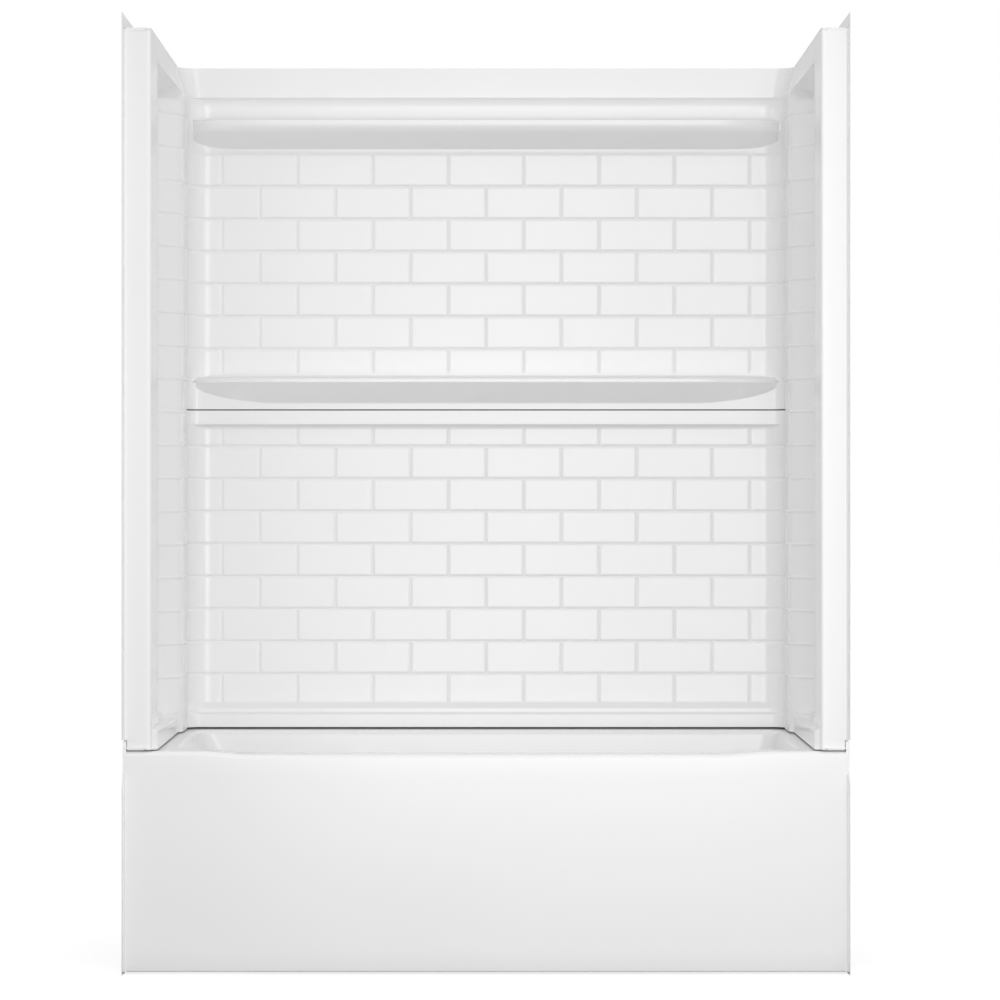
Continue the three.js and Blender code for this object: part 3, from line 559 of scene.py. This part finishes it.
def soften(path, radii, steps=5, far_share=0.5):
    """Rounds the corners of an open path of (depth, height) points, each with its own radius. `far_share` is how much
    of the length after a corner its rounding may take."""
    path = [np.array(p, float) for p in path]
    out = [path[0]]
    for i in range(1, len(path) - 1):
        radius = radii.get(i, 0)
        if not radius:
            out.append(path[i])
            continue
        before, after = path[i - 1] - path[i], path[i + 1] - path[i]
        lengths = np.linalg.norm(before), np.linalg.norm(after)
        before, after = before / lengths[0], after / lengths[1]
        half = math.acos(np.clip(np.dot(before, after), -1, 1)) / 2
        reach = min(radius / math.tan(half), lengths[0] * 0.5, lengths[1] * far_share)
        begin, finish = path[i] + before * reach, path[i] + after * reach
        for t in np.linspace(0, 1, steps + 1):
            out.append((1 - t) ** 2 * begin + 2 * t * (1 - t) * path[i] + t**2 * finish)
    out.append(path[-1])
    return out


COVE_COLUMNS, CORNER_COLUMNS, RETURN_COLUMNS = 18, 3, 4
FLAT_INNER, FLAT_EDGE = 610.0, 630.0
flat_lines = {0.0}
for n in range(8):
    for line in JOINT_LINES:
        flat_lines.update((round(n * TILE_LENGTH / 2 + line, 4), round(-n * TILE_LENGTH / 2 - line, 4)))
flat_lines.update(round(float(x), 4) for x in np.linspace(-624, 624, 27))
flat_lines = np.array(sorted(x for x in flat_lines if abs(x) <= 625))
flat_lines = flat_lines[np.concatenate([[True], np.diff(flat_lines) > 0.6])]


def return_line(edge_x, y):
    """A wall's return behind the upright corner joint, from its end to the edge of the face."""
    xs = np.linspace(-RETURN_X, edge_x, RETURN_COLUMNS + 1)[:-1]
    return np.stack([xs, np.full(RETURN_COLUMNS, y)], axis=1)


def back_plan(level_a, level_b, t):
    """Plan of the face from left to right at one height, between two levels."""
    side, back, cove = [a + (b - a) * t for a, b in zip(LEVELS[level_a], LEVELS[level_b])]
    near = SEAM_Y + CORNER_GAP / 2
    left_cove = arc(-side + cove, back - cove, cove, 180, 90, COVE_COLUMNS)
    outer_run = (side - cove - FLAT_INNER) / (FLAT_EDGE - FLAT_INNER)
    beyond = np.maximum(np.abs(flat_lines) - FLAT_INNER, 0)
    xs = np.sign(flat_lines) * (np.minimum(np.abs(flat_lines), FLAT_INNER) + beyond * outer_run)
    flat = np.stack([xs, np.full_like(xs, back)], axis=1)
    corner = arc(-side - EDGE, near + EDGE, EDGE, -90, 0, CORNER_COLUMNS)
    side_run = np.stack([np.full(3, -side), np.linspace(near + EDGE, back - cove, 5)[1:-1]], axis=1)
    half = np.concatenate([return_line(-side - EDGE, near), corner, side_run, left_cove])
    return np.concatenate([half, flat, half[::-1] * [-1, 1]])


def facing_of(line):
    """The way each point of a plan line looks into the room, which lies to the right of the line's direction."""
    run = np.gradient(line, axis=0)
    run /= np.maximum(np.linalg.norm(run, axis=1), 1e-9)[:, None]
    return np.stack([run[:, 1], -run[:, 0]], axis=1)


def back_wall(name, rows, lower_edge, upper_edge, field):
    """A back wall. A row is (height, level, other level, share between them, shelf), and `field` says whether there
    are tiles at a height."""
    grid, marks = [], {"up": [], "field": [], "along": [], "upright": [], "facing": []}
    base_line = back_plan("tiles", "tiles", 0)
    across = len(base_line)
    ahead = np.minimum(np.arange(across), np.arange(across)[::-1])
    is_return = ahead < RETURN_COLUMNS
    is_corner = ~is_return & (ahead <= RETURN_COLUMNS + CORNER_COLUMNS)
    base_facing = facing_of(base_line)
    inwards = np.stack([-np.sign(base_line[:, 0]), base_line[:, 0] * 0], axis=1)
    joint_facing = np.where(is_corner[:, None], inwards, base_facing)
    on_flat = np.abs(base_line[:, 0]) <= 622

    def outward(line):
        """From each point of the face to the studs behind it."""
        out = -base_facing
        sideways, backwards = np.abs(out[:, 0]), out[:, 1]
        room_x, room_y = RETURN_X - np.abs(line[:, 0]), STUD_Y - 0.5 - line[:, 1]
        dx = np.where(sideways > 1e-3, room_x / np.maximum(sideways, 1e-3), 1e6)
        dy = np.where(backwards > 1e-3, room_y / np.maximum(backwards, 1e-3), 1e6)
        reach = np.minimum(dx, dy) * np.where(is_return | is_corner, 0, 1)
        return out * np.maximum(reach, 0)[:, None]

    def put(line, height, tiled):
        grid.append(np.column_stack([line, height]))
        marks["up"].append(height * MM)
        marks["field"].append(np.where(is_return, 0.0, float(tiled)))
        marks["along"].append(base_line[:, 0] * MM)
        marks["upright"].append(np.where(on_flat, 1.0, 0.0))
        marks["facing"].append(np.column_stack([joint_facing, np.zeros(across)]))

    first = back_plan(*rows[0][1:4])
    for share in (1.0, 0.6, 0.25, 0.08):
        put(first + outward(first) * share, lower_edge(first[:, 1]), 0)
    for height, level_a, level_b, t, shelf in rows:
        line = back_plan(level_a, level_b, t)
        z = height(line[:, 1]) if callable(height) else np.full(across, float(height))
        if shelf:
            reach, bow, depth, drop, power = shelf
            from_end = np.clip((reach - np.abs(line[:, 0])) / bow, 0, 1)
            share = np.sqrt(1 - (1 - from_end) ** 2)
            z = z + drop * (1 - share**power)
            line[:, 1] = np.minimum(line[:, 1], np.where(is_return, line[:, 1], TILE_Y - depth * share))
        put(line, z, 0 if shelf or callable(height) else field(height))
    last = back_plan(*rows[-1][1:4])
    for share in (0.08, 0.25, 0.6, 1.0):
        put(last + outward(last) * share, np.full(across, upper_edge), 0)
    faces = []
    for r in range(len(grid) - 1):
        for i in range(across - 1):
            faces.append((r * across + i, r * across + i + 1, (r + 1) * across + i + 1, (r + 1) * across + i))
    marks = {key: np.concatenate(value) for key, value in marks.items()}
    return sink_joints(sheet_mesh(name, np.concatenate(grid), faces, SKIN, composite, marks))


# lower piece: foot, plinth in two steps, tiles, cove and band
SEAM_LOW, SEAM_HIGH = 1201.5, 1204.5
FIELD_LOW = 561.0
PLINTH_LOW, PLINTH_EDGE = 487.0, 509.0
PLINTH_STEP, PLINTH_DEPTH = 17.0, 29.5
PLINTH_RADII = {1: 3.5, 2: 3.0, 3: 3.5, 4: 10.0}


def plinth_path(depth):
    """The plinth's profile as (depth from the tiles, height): front edge, a step back, and a ledge to the tiles."""
    front = [(depth, PLINTH_LOW), (depth, PLINTH_EDGE)]
    ledge = [(PLINTH_STEP, PLINTH_EDGE + 4.5), (PLINTH_STEP, 522.5), (0.0, 535.0), (0.0, 560.0)]
    return soften(front + ledge, PLINTH_RADII)


def cove_rows(level, foot, height, lip, share, steps):
    """Rows of a cove out of the tiles to a band or rail that stands proud, and of the small round at its edge."""
    turns = np.radians(np.linspace(0, 90, steps))
    places = [(foot + height * math.sin(turn), share * (1 - math.cos(turn))) for turn in turns]
    turns = np.radians(np.linspace(0, 90, steps // 2 + 1)[1:])
    places += [(foot + height + lip * (1 - math.cos(t)), share + (1 - share) * math.sin(t)) for t in turns]
    return [(z, "tiles", level, t, None) for z, t in places]


lower_rows = [(foot_at, "tiles", "plinth", 1.0, None)]
for d, z in plinth_path(PLINTH_DEPTH):
    lower_rows.append((float(z), "tiles", "plinth", float(d) / PLINTH_DEPTH, None))
lower_rows += [(z, "tiles", "tiles", 0.0, None) for z in joint_rows(FIELD_LOW, 1158)]
lower_rows += cove_rows("band", foot=1159.0, height=10.5, lip=2.5, share=0.93, steps=8)
lower_rows += [(z, "tiles", "band", 1.0, None) for z in (1176.0, 1190.0, 1198.5, 1200.6, SEAM_LOW)]
lower_wall = back_wall("lower_back_wall_moulding", lower_rows, foot_at, SEAM_LOW, lambda z: 536 < z < 1160)
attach(lower_wall, "root")
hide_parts("lower_back_wall")

# upper piece: band, middle shelf, tiles, top shelf, tiles, cove and rail
SHELF_DEPTH = 78.0
WALL_TOP = 1982.0
MID_SHELF = dict(
    low=1219.5, lip_low=1264.5, lip_high=1272.0, back_top=1278.0, reach=667.0, bow=190.0, power=1.0, nose=2.5
)
TOP_SHELF = dict(
    low=1800.0, lip_low=1838.0, lip_high=1859.0, back_top=1865.0, reach=673.0, bow=120.0, power=0.5, nose=28.0
)


def shelf_rows(level, base, low, lip_low, lip_high, back_top, reach, bow, power, nose):
    """Rows round a shelf: its slanted underside, rolled lip and falling top. `low` is where the underside starts."""
    start = (TILE_Y - RAIL_Y) * base
    under = [(start, low - 6), (start, low), (SHELF_DEPTH, lip_low), (SHELF_DEPTH, lip_high)]
    over = [(SHELF_DEPTH, lip_high - 1.0), (SHELF_DEPTH, lip_high), (0.0, back_top), (0.0, back_top + 12)]
    path = soften(under, {1: 9.0, 2: nose}, 10, far_share=0.95)[:-1] + soften(over, {1: 1.6, 2: 9.0}, 6)[1:]
    rows = []
    for d, z in path:
        rise = max(lip_low - z, 0.0)
        share = base if z < lip_low + 3 else base * max(0.0, 1 - (z - lip_low - 3) / 8)
        rows.append((float(z), "tiles", level, share, (reach, bow, float(d), rise, power)))
    return rows


# above this height the corner opens outwards, up to the plain square top of the four walls
LEAN_FROM = 1918.0
upper_rows = [(z, "tiles", "band", 1.0, None) for z in (SEAM_HIGH, 1205.4, 1207.5, 1211.0)]
upper_rows += shelf_rows("band", 1.0, **MID_SHELF)
upper_rows += [(z, "tiles", "tiles", 0.0, None) for z in joint_rows(1292, 1790)]
upper_rows += shelf_rows("rail", 0.0, **TOP_SHELF)
upper_rows += [(z, "tiles", "tiles", 0.0, None) for z in (1879.0, 1884.0)]
upper_rows += cove_rows("rail", foot=1888.0, height=26.0, lip=4.0, share=0.9, steps=10)
for z in (1926.0, 1936.0, 1950.0, 1963.0, 1975.0, 1979.5, 1981.2, WALL_TOP):
    upper_rows.append((z, "rail", "rail_top", (z - LEAN_FROM) / (WALL_TOP - LEAN_FROM), None))
upper_wall = back_wall(
    "upper_back_wall_moulding", upper_rows, lambda y: np.full(len(y), SEAM_HIGH), WALL_TOP, lambda z: 1286 < z < 1798
)
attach(upper_wall, "root")
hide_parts("upper_back_wall")

# The end walls: the same moulded sheet. A plain column stands at the front, the tiles lie in a recess behind it
# and sweep forward again towards the corner, and a nailing flange runs up the front and along the top.
# The right wall is the left one mirrored.

COLUMN_BACK, COLUMN_SLOPE, COLUMN_EDGE = -208.5, 46.0, 6.0
RECESS_X = 742.0
SWEEP_FROM, SWEEP_LENGTH = 125.0, 110.0
PLINTH_RUN = 14.0
FLANGE_LOW, FLANGE_HIGH = 492.0, 2015.0
SIDE_JOINT = 114.0
SIDE_TILES_TOP = 1871.0
NOTCH_X = 752.4
EDGE_ROUND = 1.5
EDGE_STEPS, COLUMN_STEPS = 8, 5
ROOF_FOOT, ROOF_EDGE = 1893.0, 1932.0
ROOF_PATH = [(0.0, SIDE_TILES_TOP + 1), (0.0, ROOF_FOOT), (1.0, ROOF_EDGE), (1.0, 1944.0)]
ROOF_RADII = {1: 14.0, 2: 3.0}
# the rail's lower edge runs inwards and down from the column until it meets the tiles
TOE_TO, EDGE_FALL = 270.0, 24.0

# upright lines of the face, by their Y: close together where the face turns and where a joint is sunk
end_lines = list(np.linspace(FACE_Y + COLUMN_EDGE, FACE_Y + COLUMN_EDGE + PLINTH_RUN, 7))
end_lines += list(np.linspace(-350, COLUMN_BACK, 6))
end_lines += list(np.linspace(COLUMN_BACK, COLUMN_BACK + COLUMN_SLOPE, 15))
end_lines += list(np.linspace(COLUMN_BACK + COLUMN_SLOPE, SWEEP_FROM, 8))
end_lines += list(np.linspace(SWEEP_FROM, SWEEP_FROM + SWEEP_LENGTH, 25))
for k in range(-1, 5):
    end_lines += list(SEAM_Y - SIDE_JOINT - k * TILE_LENGTH / 2 + JOINT_LINES)
far_edge = SEAM_Y - CORNER_GAP / 2 - EDGE
end_lines = np.array(sorted(round(float(y), 3) for y in end_lines if y <= far_edge - 1) + [far_edge])
end_lines = end_lines[np.concatenate([[True], np.diff(end_lines) > 0.5])][::-1]

recess = COLUMN_X + (RECESS_X - COLUMN_X) * smooth((end_lines - COLUMN_BACK) / COLUMN_SLOPE)
swept = RECESS_X + (REAR_X - RECESS_X) * smooth((end_lines - SWEEP_FROM) / SWEEP_LENGTH)
tiled_face = np.where(end_lines < SWEEP_FROM, recess, swept)


def plinth_face(share):
    """The face at the plinth: all of it at a share of 1, the tiles at 0."""
    grown = COLUMN_X + (PLINTH_X - COLUMN_X) * smooth((end_lines - FACE_Y - COLUMN_EDGE) / PLINTH_RUN)
    return tiled_face + (np.minimum(grown, tiled_face) - tiled_face) * share


roof_path = soften([(d * (RECESS_X - COLUMN_X), z) for d, z in ROOF_PATH], ROOF_RADII, 7)
roof_steps = [(float(z), float(d) / (RECESS_X - COLUMN_X)) for d, z in roof_path]


def toe_at(y):
    """How far along its lower edge the rail is: 0 at the column, 1 where it meets the tiles."""
    return np.clip((y - COLUMN_BACK) / (TOE_TO - COLUMN_BACK), 0, 1)


def fallen(z, toe):
    """A row's height with the fall of the rail's lower edge."""
    return z - EDGE_FALL * toe * np.interp(z, [ROOF_FOOT, ROOF_EDGE, WALL_TOP], [0, 1, 0])


rail_edge = np.minimum(COLUMN_X + (REAR_X - COLUMN_X) * toe_at(end_lines), tiled_face)


def roof_face(z):
    """The face above the tiles: the slanted roof of the recess, and the rail that leans out towards its top."""
    lean = np.clip((fallen(z, toe_at(end_lines)) - LEAN_FROM) / (WALL_TOP - LEAN_FROM), 0, 1)
    rail = rail_edge + (COLUMN_X - rail_edge) * lean
    return tiled_face + (rail - tiled_face) * np.interp(z, *zip(*roof_steps))


end_parts = {
    "return": RETURN_COLUMNS,
    "corner": CORNER_COLUMNS,
    "face": len(end_lines),
    "edge": EDGE_STEPS,
    "column": COLUMN_STEPS,
}
end_kinds = np.concatenate([[kind] * count for kind, count in end_parts.items()])


def end_plan(reach):
    """Plan of the left end wall's face, from the corner's return forward and round to the column's outer edge."""
    xs = -reach
    near = SEAM_Y - CORNER_GAP / 2
    corner = arc(xs[0] - EDGE, near - EDGE, EDGE, 90, 0, CORNER_COLUMNS)[:-1]
    face = np.stack([xs, end_lines], axis=1)
    edge = arc(-COLUMN_X - COLUMN_EDGE, FACE_Y + COLUMN_EDGE, COLUMN_EDGE, 0, -90, EDGE_STEPS)[1:]
    column_xs = np.linspace(-COLUMN_X - COLUMN_EDGE, -FLANGE_X + FILLET, COLUMN_STEPS + 1)[1:]
    column = np.stack([column_xs, np.full(COLUMN_STEPS, FACE_Y)], axis=1)
    return np.concatenate([return_line(xs[0] - EDGE, near), corner, face, edge, column])


def end_wall():
    """The left end wall's front skin: its points, its faces, and what the tile joints need to know of each point."""
    base_line = end_plan(tiled_face)
    across = len(base_line)
    facing = facing_of(base_line)
    facing[end_kinds == "corner"] = [1, 0]
    behind_column = base_line[:, 1] > COLUMN_BACK + COLUMN_SLOPE - 12
    tiled_part = ((end_kinds == "face") & behind_column) | (end_kinds == "corner")
    along = SEAM_Y - base_line[:, 1] - SIDE_JOINT + TILE_LENGTH / 2
    grid, marks = [], {"up": [], "field": [], "along": [], "upright": [], "facing": []}

    def put(line, z, tiled):
        line = line.copy()
        line[-1, 0] = np.where(z[-1] < FLANGE_LOW - 0.7, -NOTCH_X, line[-1, 0])
        grid.append(np.column_stack([line, z]))
        marks["up"].append(z * MM)
        marks["field"].append(np.where(tiled_part, float(tiled), 0.0))
        marks["along"].append(along * MM)
        marks["upright"].append(np.where(base_line[:, 1] < SEAM_Y - 6, 1.0, 0.0))
        marks["facing"].append(np.column_stack([facing, np.zeros(across)]))

    def drawn_in(line, by):
        return line - facing_of(line) * by

    def moved_out(line, share):
        """The line moved towards the nailing flange, which makes the wall's closed foot and top."""
        out = line.copy()
        moves = (end_kinds == "face") | (end_kinds == "edge")
        out[:, 0] = np.where(moves, line[:, 0] + (-FLANGE_X - line[:, 0]) * share, line[:, 0])
        return out

    first, last = end_plan(plinth_face(1.0)), end_plan(roof_face(WALL_TOP))
    foot = foot_at(first[:, 1])
    top = np.full(across, WALL_TOP)
    for share in (1.0, 0.5, 0.1):
        put(moved_out(drawn_in(first, EDGE_ROUND), share), foot, 0)
    for turn in np.radians(np.linspace(0, 90, 4)):
        put(drawn_in(first, EDGE_ROUND * (1 - math.sin(turn))), foot + EDGE_ROUND * (1 - math.cos(turn)), 0)
    rows = [(z, plinth_face(1.0), 0) for z in (PLINTH_LOW, FLANGE_LOW - 1.0, FLANGE_LOW - 0.4)]
    deepest = RECESS_X - PLINTH_X
    path = [(float(d), float(z)) for d, z in plinth_path(deepest) if z > FLANGE_LOW]
    rows += [(z, plinth_face(d / deepest), 0) for d, z in path]
    rows += [(z, tiled_face, float(z > FIELD_LOW + 1)) for z in joint_rows(FIELD_LOW, SIDE_TILES_TOP)]
    roof_rows = [z for z, _ in roof_steps if z > SIDE_TILES_TOP + 1] + [1950.0, 1957.0, 1965.0, 1973.0]
    kept = [z for z, after in zip(roof_rows, roof_rows[1:] + [WALL_TOP]) if after - z > 0.45]
    rows += [(z, roof_face(z), 0) for z in kept]
    for height, reach, tiled in rows:
        put(end_plan(reach), fallen(height, toe_at(base_line[:, 1])), tiled)
    for turn in np.radians(np.linspace(0, 90, 5)):
        put(drawn_in(last, EDGE_ROUND * (1 - math.cos(turn))), top - EDGE_ROUND * (1 - math.sin(turn)), 0)
    for share in (0.1, 0.5, 1.0):
        put(moved_out(drawn_in(last, EDGE_ROUND), share), top, 0)
    faces = []
    for r in range(len(grid) - 1):
        closing = r < 3 or r >= len(grid) - 4
        for i in range(across - 1):
            if closing and end_kinds[i + 1] in ("column", "return", "corner"):
                continue
            faces.append((r * across + i, (r + 1) * across + i, (r + 1) * across + i + 1, r * across + i + 1))
    return np.concatenate(grid), faces, {key: np.concatenate(value) for key, value in marks.items()}


flange_outline = [
    (FLANGE_FRONT, FLANGE_LOW),
    (FLANGE_FRONT, FLANGE_HIGH),
    (far_edge, FLANGE_HIGH),
    (far_edge, WALL_TOP - SKIN),
    (FACE_Y + SKIN, WALL_TOP - SKIN),
    (FACE_Y + SKIN, FLANGE_LOW),
]
grid, faces, marks = end_wall()
for name, side in (("left", -1), ("right", 1)):
    turned = faces if side == -1 else [tuple(reversed(face)) for face in faces]
    own = dict(marks, facing=marks["facing"] * [-side, 1, 1])
    piece = sink_joints(sheet_mesh(f"{name}_end_wall_moulding", grid * [-side, 1, 1], turned, FLANGE, composite, own))
    flange = plate("wall_flange", flange_outline, "x", *mirrored_span(side, FLANGE_X, STUD_X), composite)
    strip = fillet_strip("wall_fillet", side, FLANGE_LOW - 0.4, WALL_TOP - 1.0, FLANGE)
    merge(piece, clean(thin_tip(flange)), clean(strip))
    piece.data.set_sharp_from_angle(angle=math.radians(SHARP))
    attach(piece, "root")
    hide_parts(f"{name}_end_wall")

# The floor board, its runners, the board under the rim and the braces behind the apron: sawn plywood and pine,
# bonded under the bath. They carry the basin floor and stiffen the apron.

# Pale sawn pine and plywood: growth rings drawn out along the board, with fine darker fibres between them.
plywood, tree = new_material("sawn_pine_and_plywood")
where = node(tree, "ShaderNodeTexCoord")
GRAIN_MM = 7.0
long_grain = node(tree, "ShaderNodeMapping", {"Vector": where.outputs["Object"], "Scale": (0.06, 1.0, 1.0)})
rings_of_growth = node(
    tree,
    "ShaderNodeTexWave",
    {
        "Vector": long_grain.outputs["Vector"],
        "Scale": 1000 / GRAIN_MM / 6.28,
        "Distortion": 7.0,
        "Detail": 3.0,
        "Detail Scale": 1.4,
    },
    bands_direction="Y",
)
fibre = node(tree, "ShaderNodeTexNoise", {"Vector": long_grain.outputs["Vector"], "Scale": 900.0, "Detail": 3.0})
wood_colour = mixed_colour(tree, rings_of_growth.outputs["Fac"], linear("#B98E5C"), linear("#D9B98A"))
fleck = mixed_colour(tree, fibre.outputs["Fac"], wood_colour, linear("#A97F50"))
wood_bump = node(tree, "ShaderNodeBump", {"Height": fibre.outputs["Fac"], "Strength": 0.25, "Distance": 0.0004})
wood = node(
    tree,
    "ShaderNodeBsdfPrincipled",
    {"Base Color": fleck, "Roughness": 0.72, "Normal": wood_bump.outputs["Normal"]},
)
node(tree, "ShaderNodeOutputMaterial", {"Surface": wood.outputs["BSDF"]})

for name in (
    "floor_runner_front",
    "floor_runner_middle",
    "floor_runner_back",
    "front_rim_board",
    "left_apron_brace",
    "right_apron_brace",
):
    low, high = (corner * 1000 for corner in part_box(name))
    outline = [(low.x, low.y), (high.x, low.y), (high.x, high.y), (low.x, high.y)]
    board = clean(plate(name + "_sawn", outline, "z", low.z, high.z, plywood, bevel=1.5))
    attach(board, "root")
    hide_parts(name)
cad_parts["floor_board"].data.materials[0] = plywood

# The sealant: grey beads pressed into the joints between the walls and the bath and between the back walls.
# Their grey is set dark as painted shade, so the beads deep in the gaps give the joints' dark shadow lines.
# Silicone has a soft, even sheen and no grain.

sealant_with_gap_shade, tree = new_material("grey_sealant_painted_gap_shade")
where = node(tree, "ShaderNodeTexCoord")
pull = node(tree, "ShaderNodeTexNoise", {"Vector": where.outputs["Object"], "Scale": 120.0, "Detail": 2.0})
bead_bump = node(tree, "ShaderNodeBump", {"Height": pull.outputs["Fac"], "Strength": 0.2, "Distance": 0.0005})
# painted shade: the beads' dark grey stands in for the shade in the joint gaps
bead_colour_and_gap_shade = mixed_colour(tree, pull.outputs["Fac"], linear("#5E6062"), linear("#6A6C6E"))
bead = node(
    tree,
    "ShaderNodeBsdfPrincipled",
    {"Base Color": bead_colour_and_gap_shade, "Roughness": 0.45, "Normal": bead_bump.outputs["Normal"]},
)
node(tree, "ShaderNodeOutputMaterial", {"Surface": bead.outputs["BSDF"]})
for name in (
    "back_sill_seal",
    "mid_wall_seal",
    "left_sill_seal",
    "right_sill_seal",
    "left_corner_seal",
    "right_corner_seal",
):
    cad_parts[name].data.materials[0] = sealant_with_gap_shade

# The clips: bent from zinc plated spring steel, pushed over the returns of two neighbouring walls.
# The plating has a fine crystal bloom and a brushed, slightly blue shine.

zinc, tree = new_material("zinc_plated_spring_steel")
where = node(tree, "ShaderNodeTexCoord")
bloom = node(tree, "ShaderNodeTexVoronoi", {"Vector": where.outputs["Object"], "Scale": 260.0})
zinc_colour = mixed_colour(tree, bloom.outputs["Distance"], linear("#A9AEB2"), linear("#C6CACD"))
zinc_gloss = node(tree, "ShaderNodeMapRange", {"Value": bloom.outputs["Distance"], "To Min": 0.28, "To Max": 0.42})
plated = node(
    tree,
    "ShaderNodeBsdfPrincipled",
    {"Base Color": zinc_colour, "Roughness": zinc_gloss.outputs["Result"], "Metallic": 1.0},
)
node(tree, "ShaderNodeOutputMaterial", {"Surface": plated.outputs["BSDF"]})
for name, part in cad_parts.items():
    if name.endswith("_clip") or "_corner_clip_" in name:
        part.data.materials[0] = zinc

# An even ambient light comes from all sides, one softbox stands in front, and a weaker one at the right.

FLOOR_HALF, FLOOR_DROP = 30.0, 0.0006
FLOOR_LIFT, AMBIENT = 0.8, 0.72


def by_camera(tree, plain, shown):
    """One shader for the camera's own rays, `shown`, and another for all other rays."""
    seen = node(tree, "ShaderNodeLightPath").outputs["Is Camera Ray"]
    return node(tree, "ShaderNodeMixShader", {"Fac": seen, 1: plain.outputs[0], 2: shown.outputs[0]})


floor_mesh = bpy.data.meshes.new("studio_floor")
floor_corners = [(x * FLOOR_HALF, y * FLOOR_HALF, -FLOOR_DROP) for x, y in ((-1, -1), (1, -1), (1, 1), (-1, 1))]
floor_mesh.from_pydata(floor_corners, [], [(0, 1, 2, 3)])
floor = bpy.data.objects.new("studio_floor", floor_mesh)
bpy.context.scene.collection.objects.link(floor)
ground, tree = new_material("matt_white_floor")
where = node(tree, "ShaderNodeTexCoord")
dust = node(tree, "ShaderNodeTexNoise", {"Vector": where.outputs["Object"], "Scale": 3.0, "Detail": 2.0})
ground_colour = mixed_colour(tree, dust.outputs["Fac"], linear("#979797"), linear("#9A9A9A"))
paint = node(tree, "ShaderNodeBsdfDiffuse", {"Color": ground_colour})
lift = node(tree, "ShaderNodeEmission", {"Color": (1, 1, 1, 1), "Strength": FLOOR_LIFT})
none = node(tree, "ShaderNodeEmission", {"Strength": 0.0})
both = node(tree, "ShaderNodeAddShader", {0: paint.outputs[0], 1: by_camera(tree, none, lift).outputs[0]})
node(tree, "ShaderNodeOutputMaterial", {"Surface": both.outputs[0]})
floor_mesh.materials.append(ground)

world = bpy.data.worlds.new("studio")
bpy.context.scene.world = world
world.use_nodes = True
tree = world.node_tree
tree.nodes.clear()
ambient = node(tree, "ShaderNodeBackground", {"Color": (1, 1, 1, 1), "Strength": AMBIENT})
backdrop = node(tree, "ShaderNodeBackground", {"Color": (1, 1, 1, 1), "Strength": 1.0})
node(tree, "ShaderNodeOutputWorld", {"Surface": by_camera(tree, ambient, backdrop).outputs[0]})


def soft_lamp(name, place, target, size, power):
    """A rectangular softbox that the camera doesn't see, turned towards a target."""
    lamp = bpy.data.lights.new(name, "AREA")
    lamp.shape = "RECTANGLE"
    lamp.size, lamp.size_y = size
    lamp.energy = power
    holder = bpy.data.objects.new(name, lamp)
    bpy.context.scene.collection.objects.link(holder)
    holder.location = place
    aim = np.array(target) - np.array(place)
    holder.rotation_euler = Vector(aim).to_track_quat("-Z", "Y").to_euler()
    holder.visible_camera = False


soft_lamp("front_softbox", (0.25, -3.6, 1.3), (0.2, 0.0, 1.2), (1.7, 2.5), 48)
soft_lamp("side_softbox", (3.4, -3.5, 1.6), (0.0, 0.0, 1.0), (2.8, 2.8), 12)

camera_data = bpy.data.cameras.new("camera")
camera = bpy.data.objects.new("camera", camera_data)
bpy.context.scene.collection.objects.link(camera)
camera.location = (0.0, -9.0065, 0.961)
camera.rotation_euler = (math.radians(90), 0, 0)
camera_data.lens = 148.1
camera_data.sensor_width = 36
camera_data.shift_x = 0.014
camera_data.shift_y = 0.016
camera_data.clip_end = 100
bpy.context.scene.camera = camera

bpy.context.scene.view_settings.view_transform = "Standard"
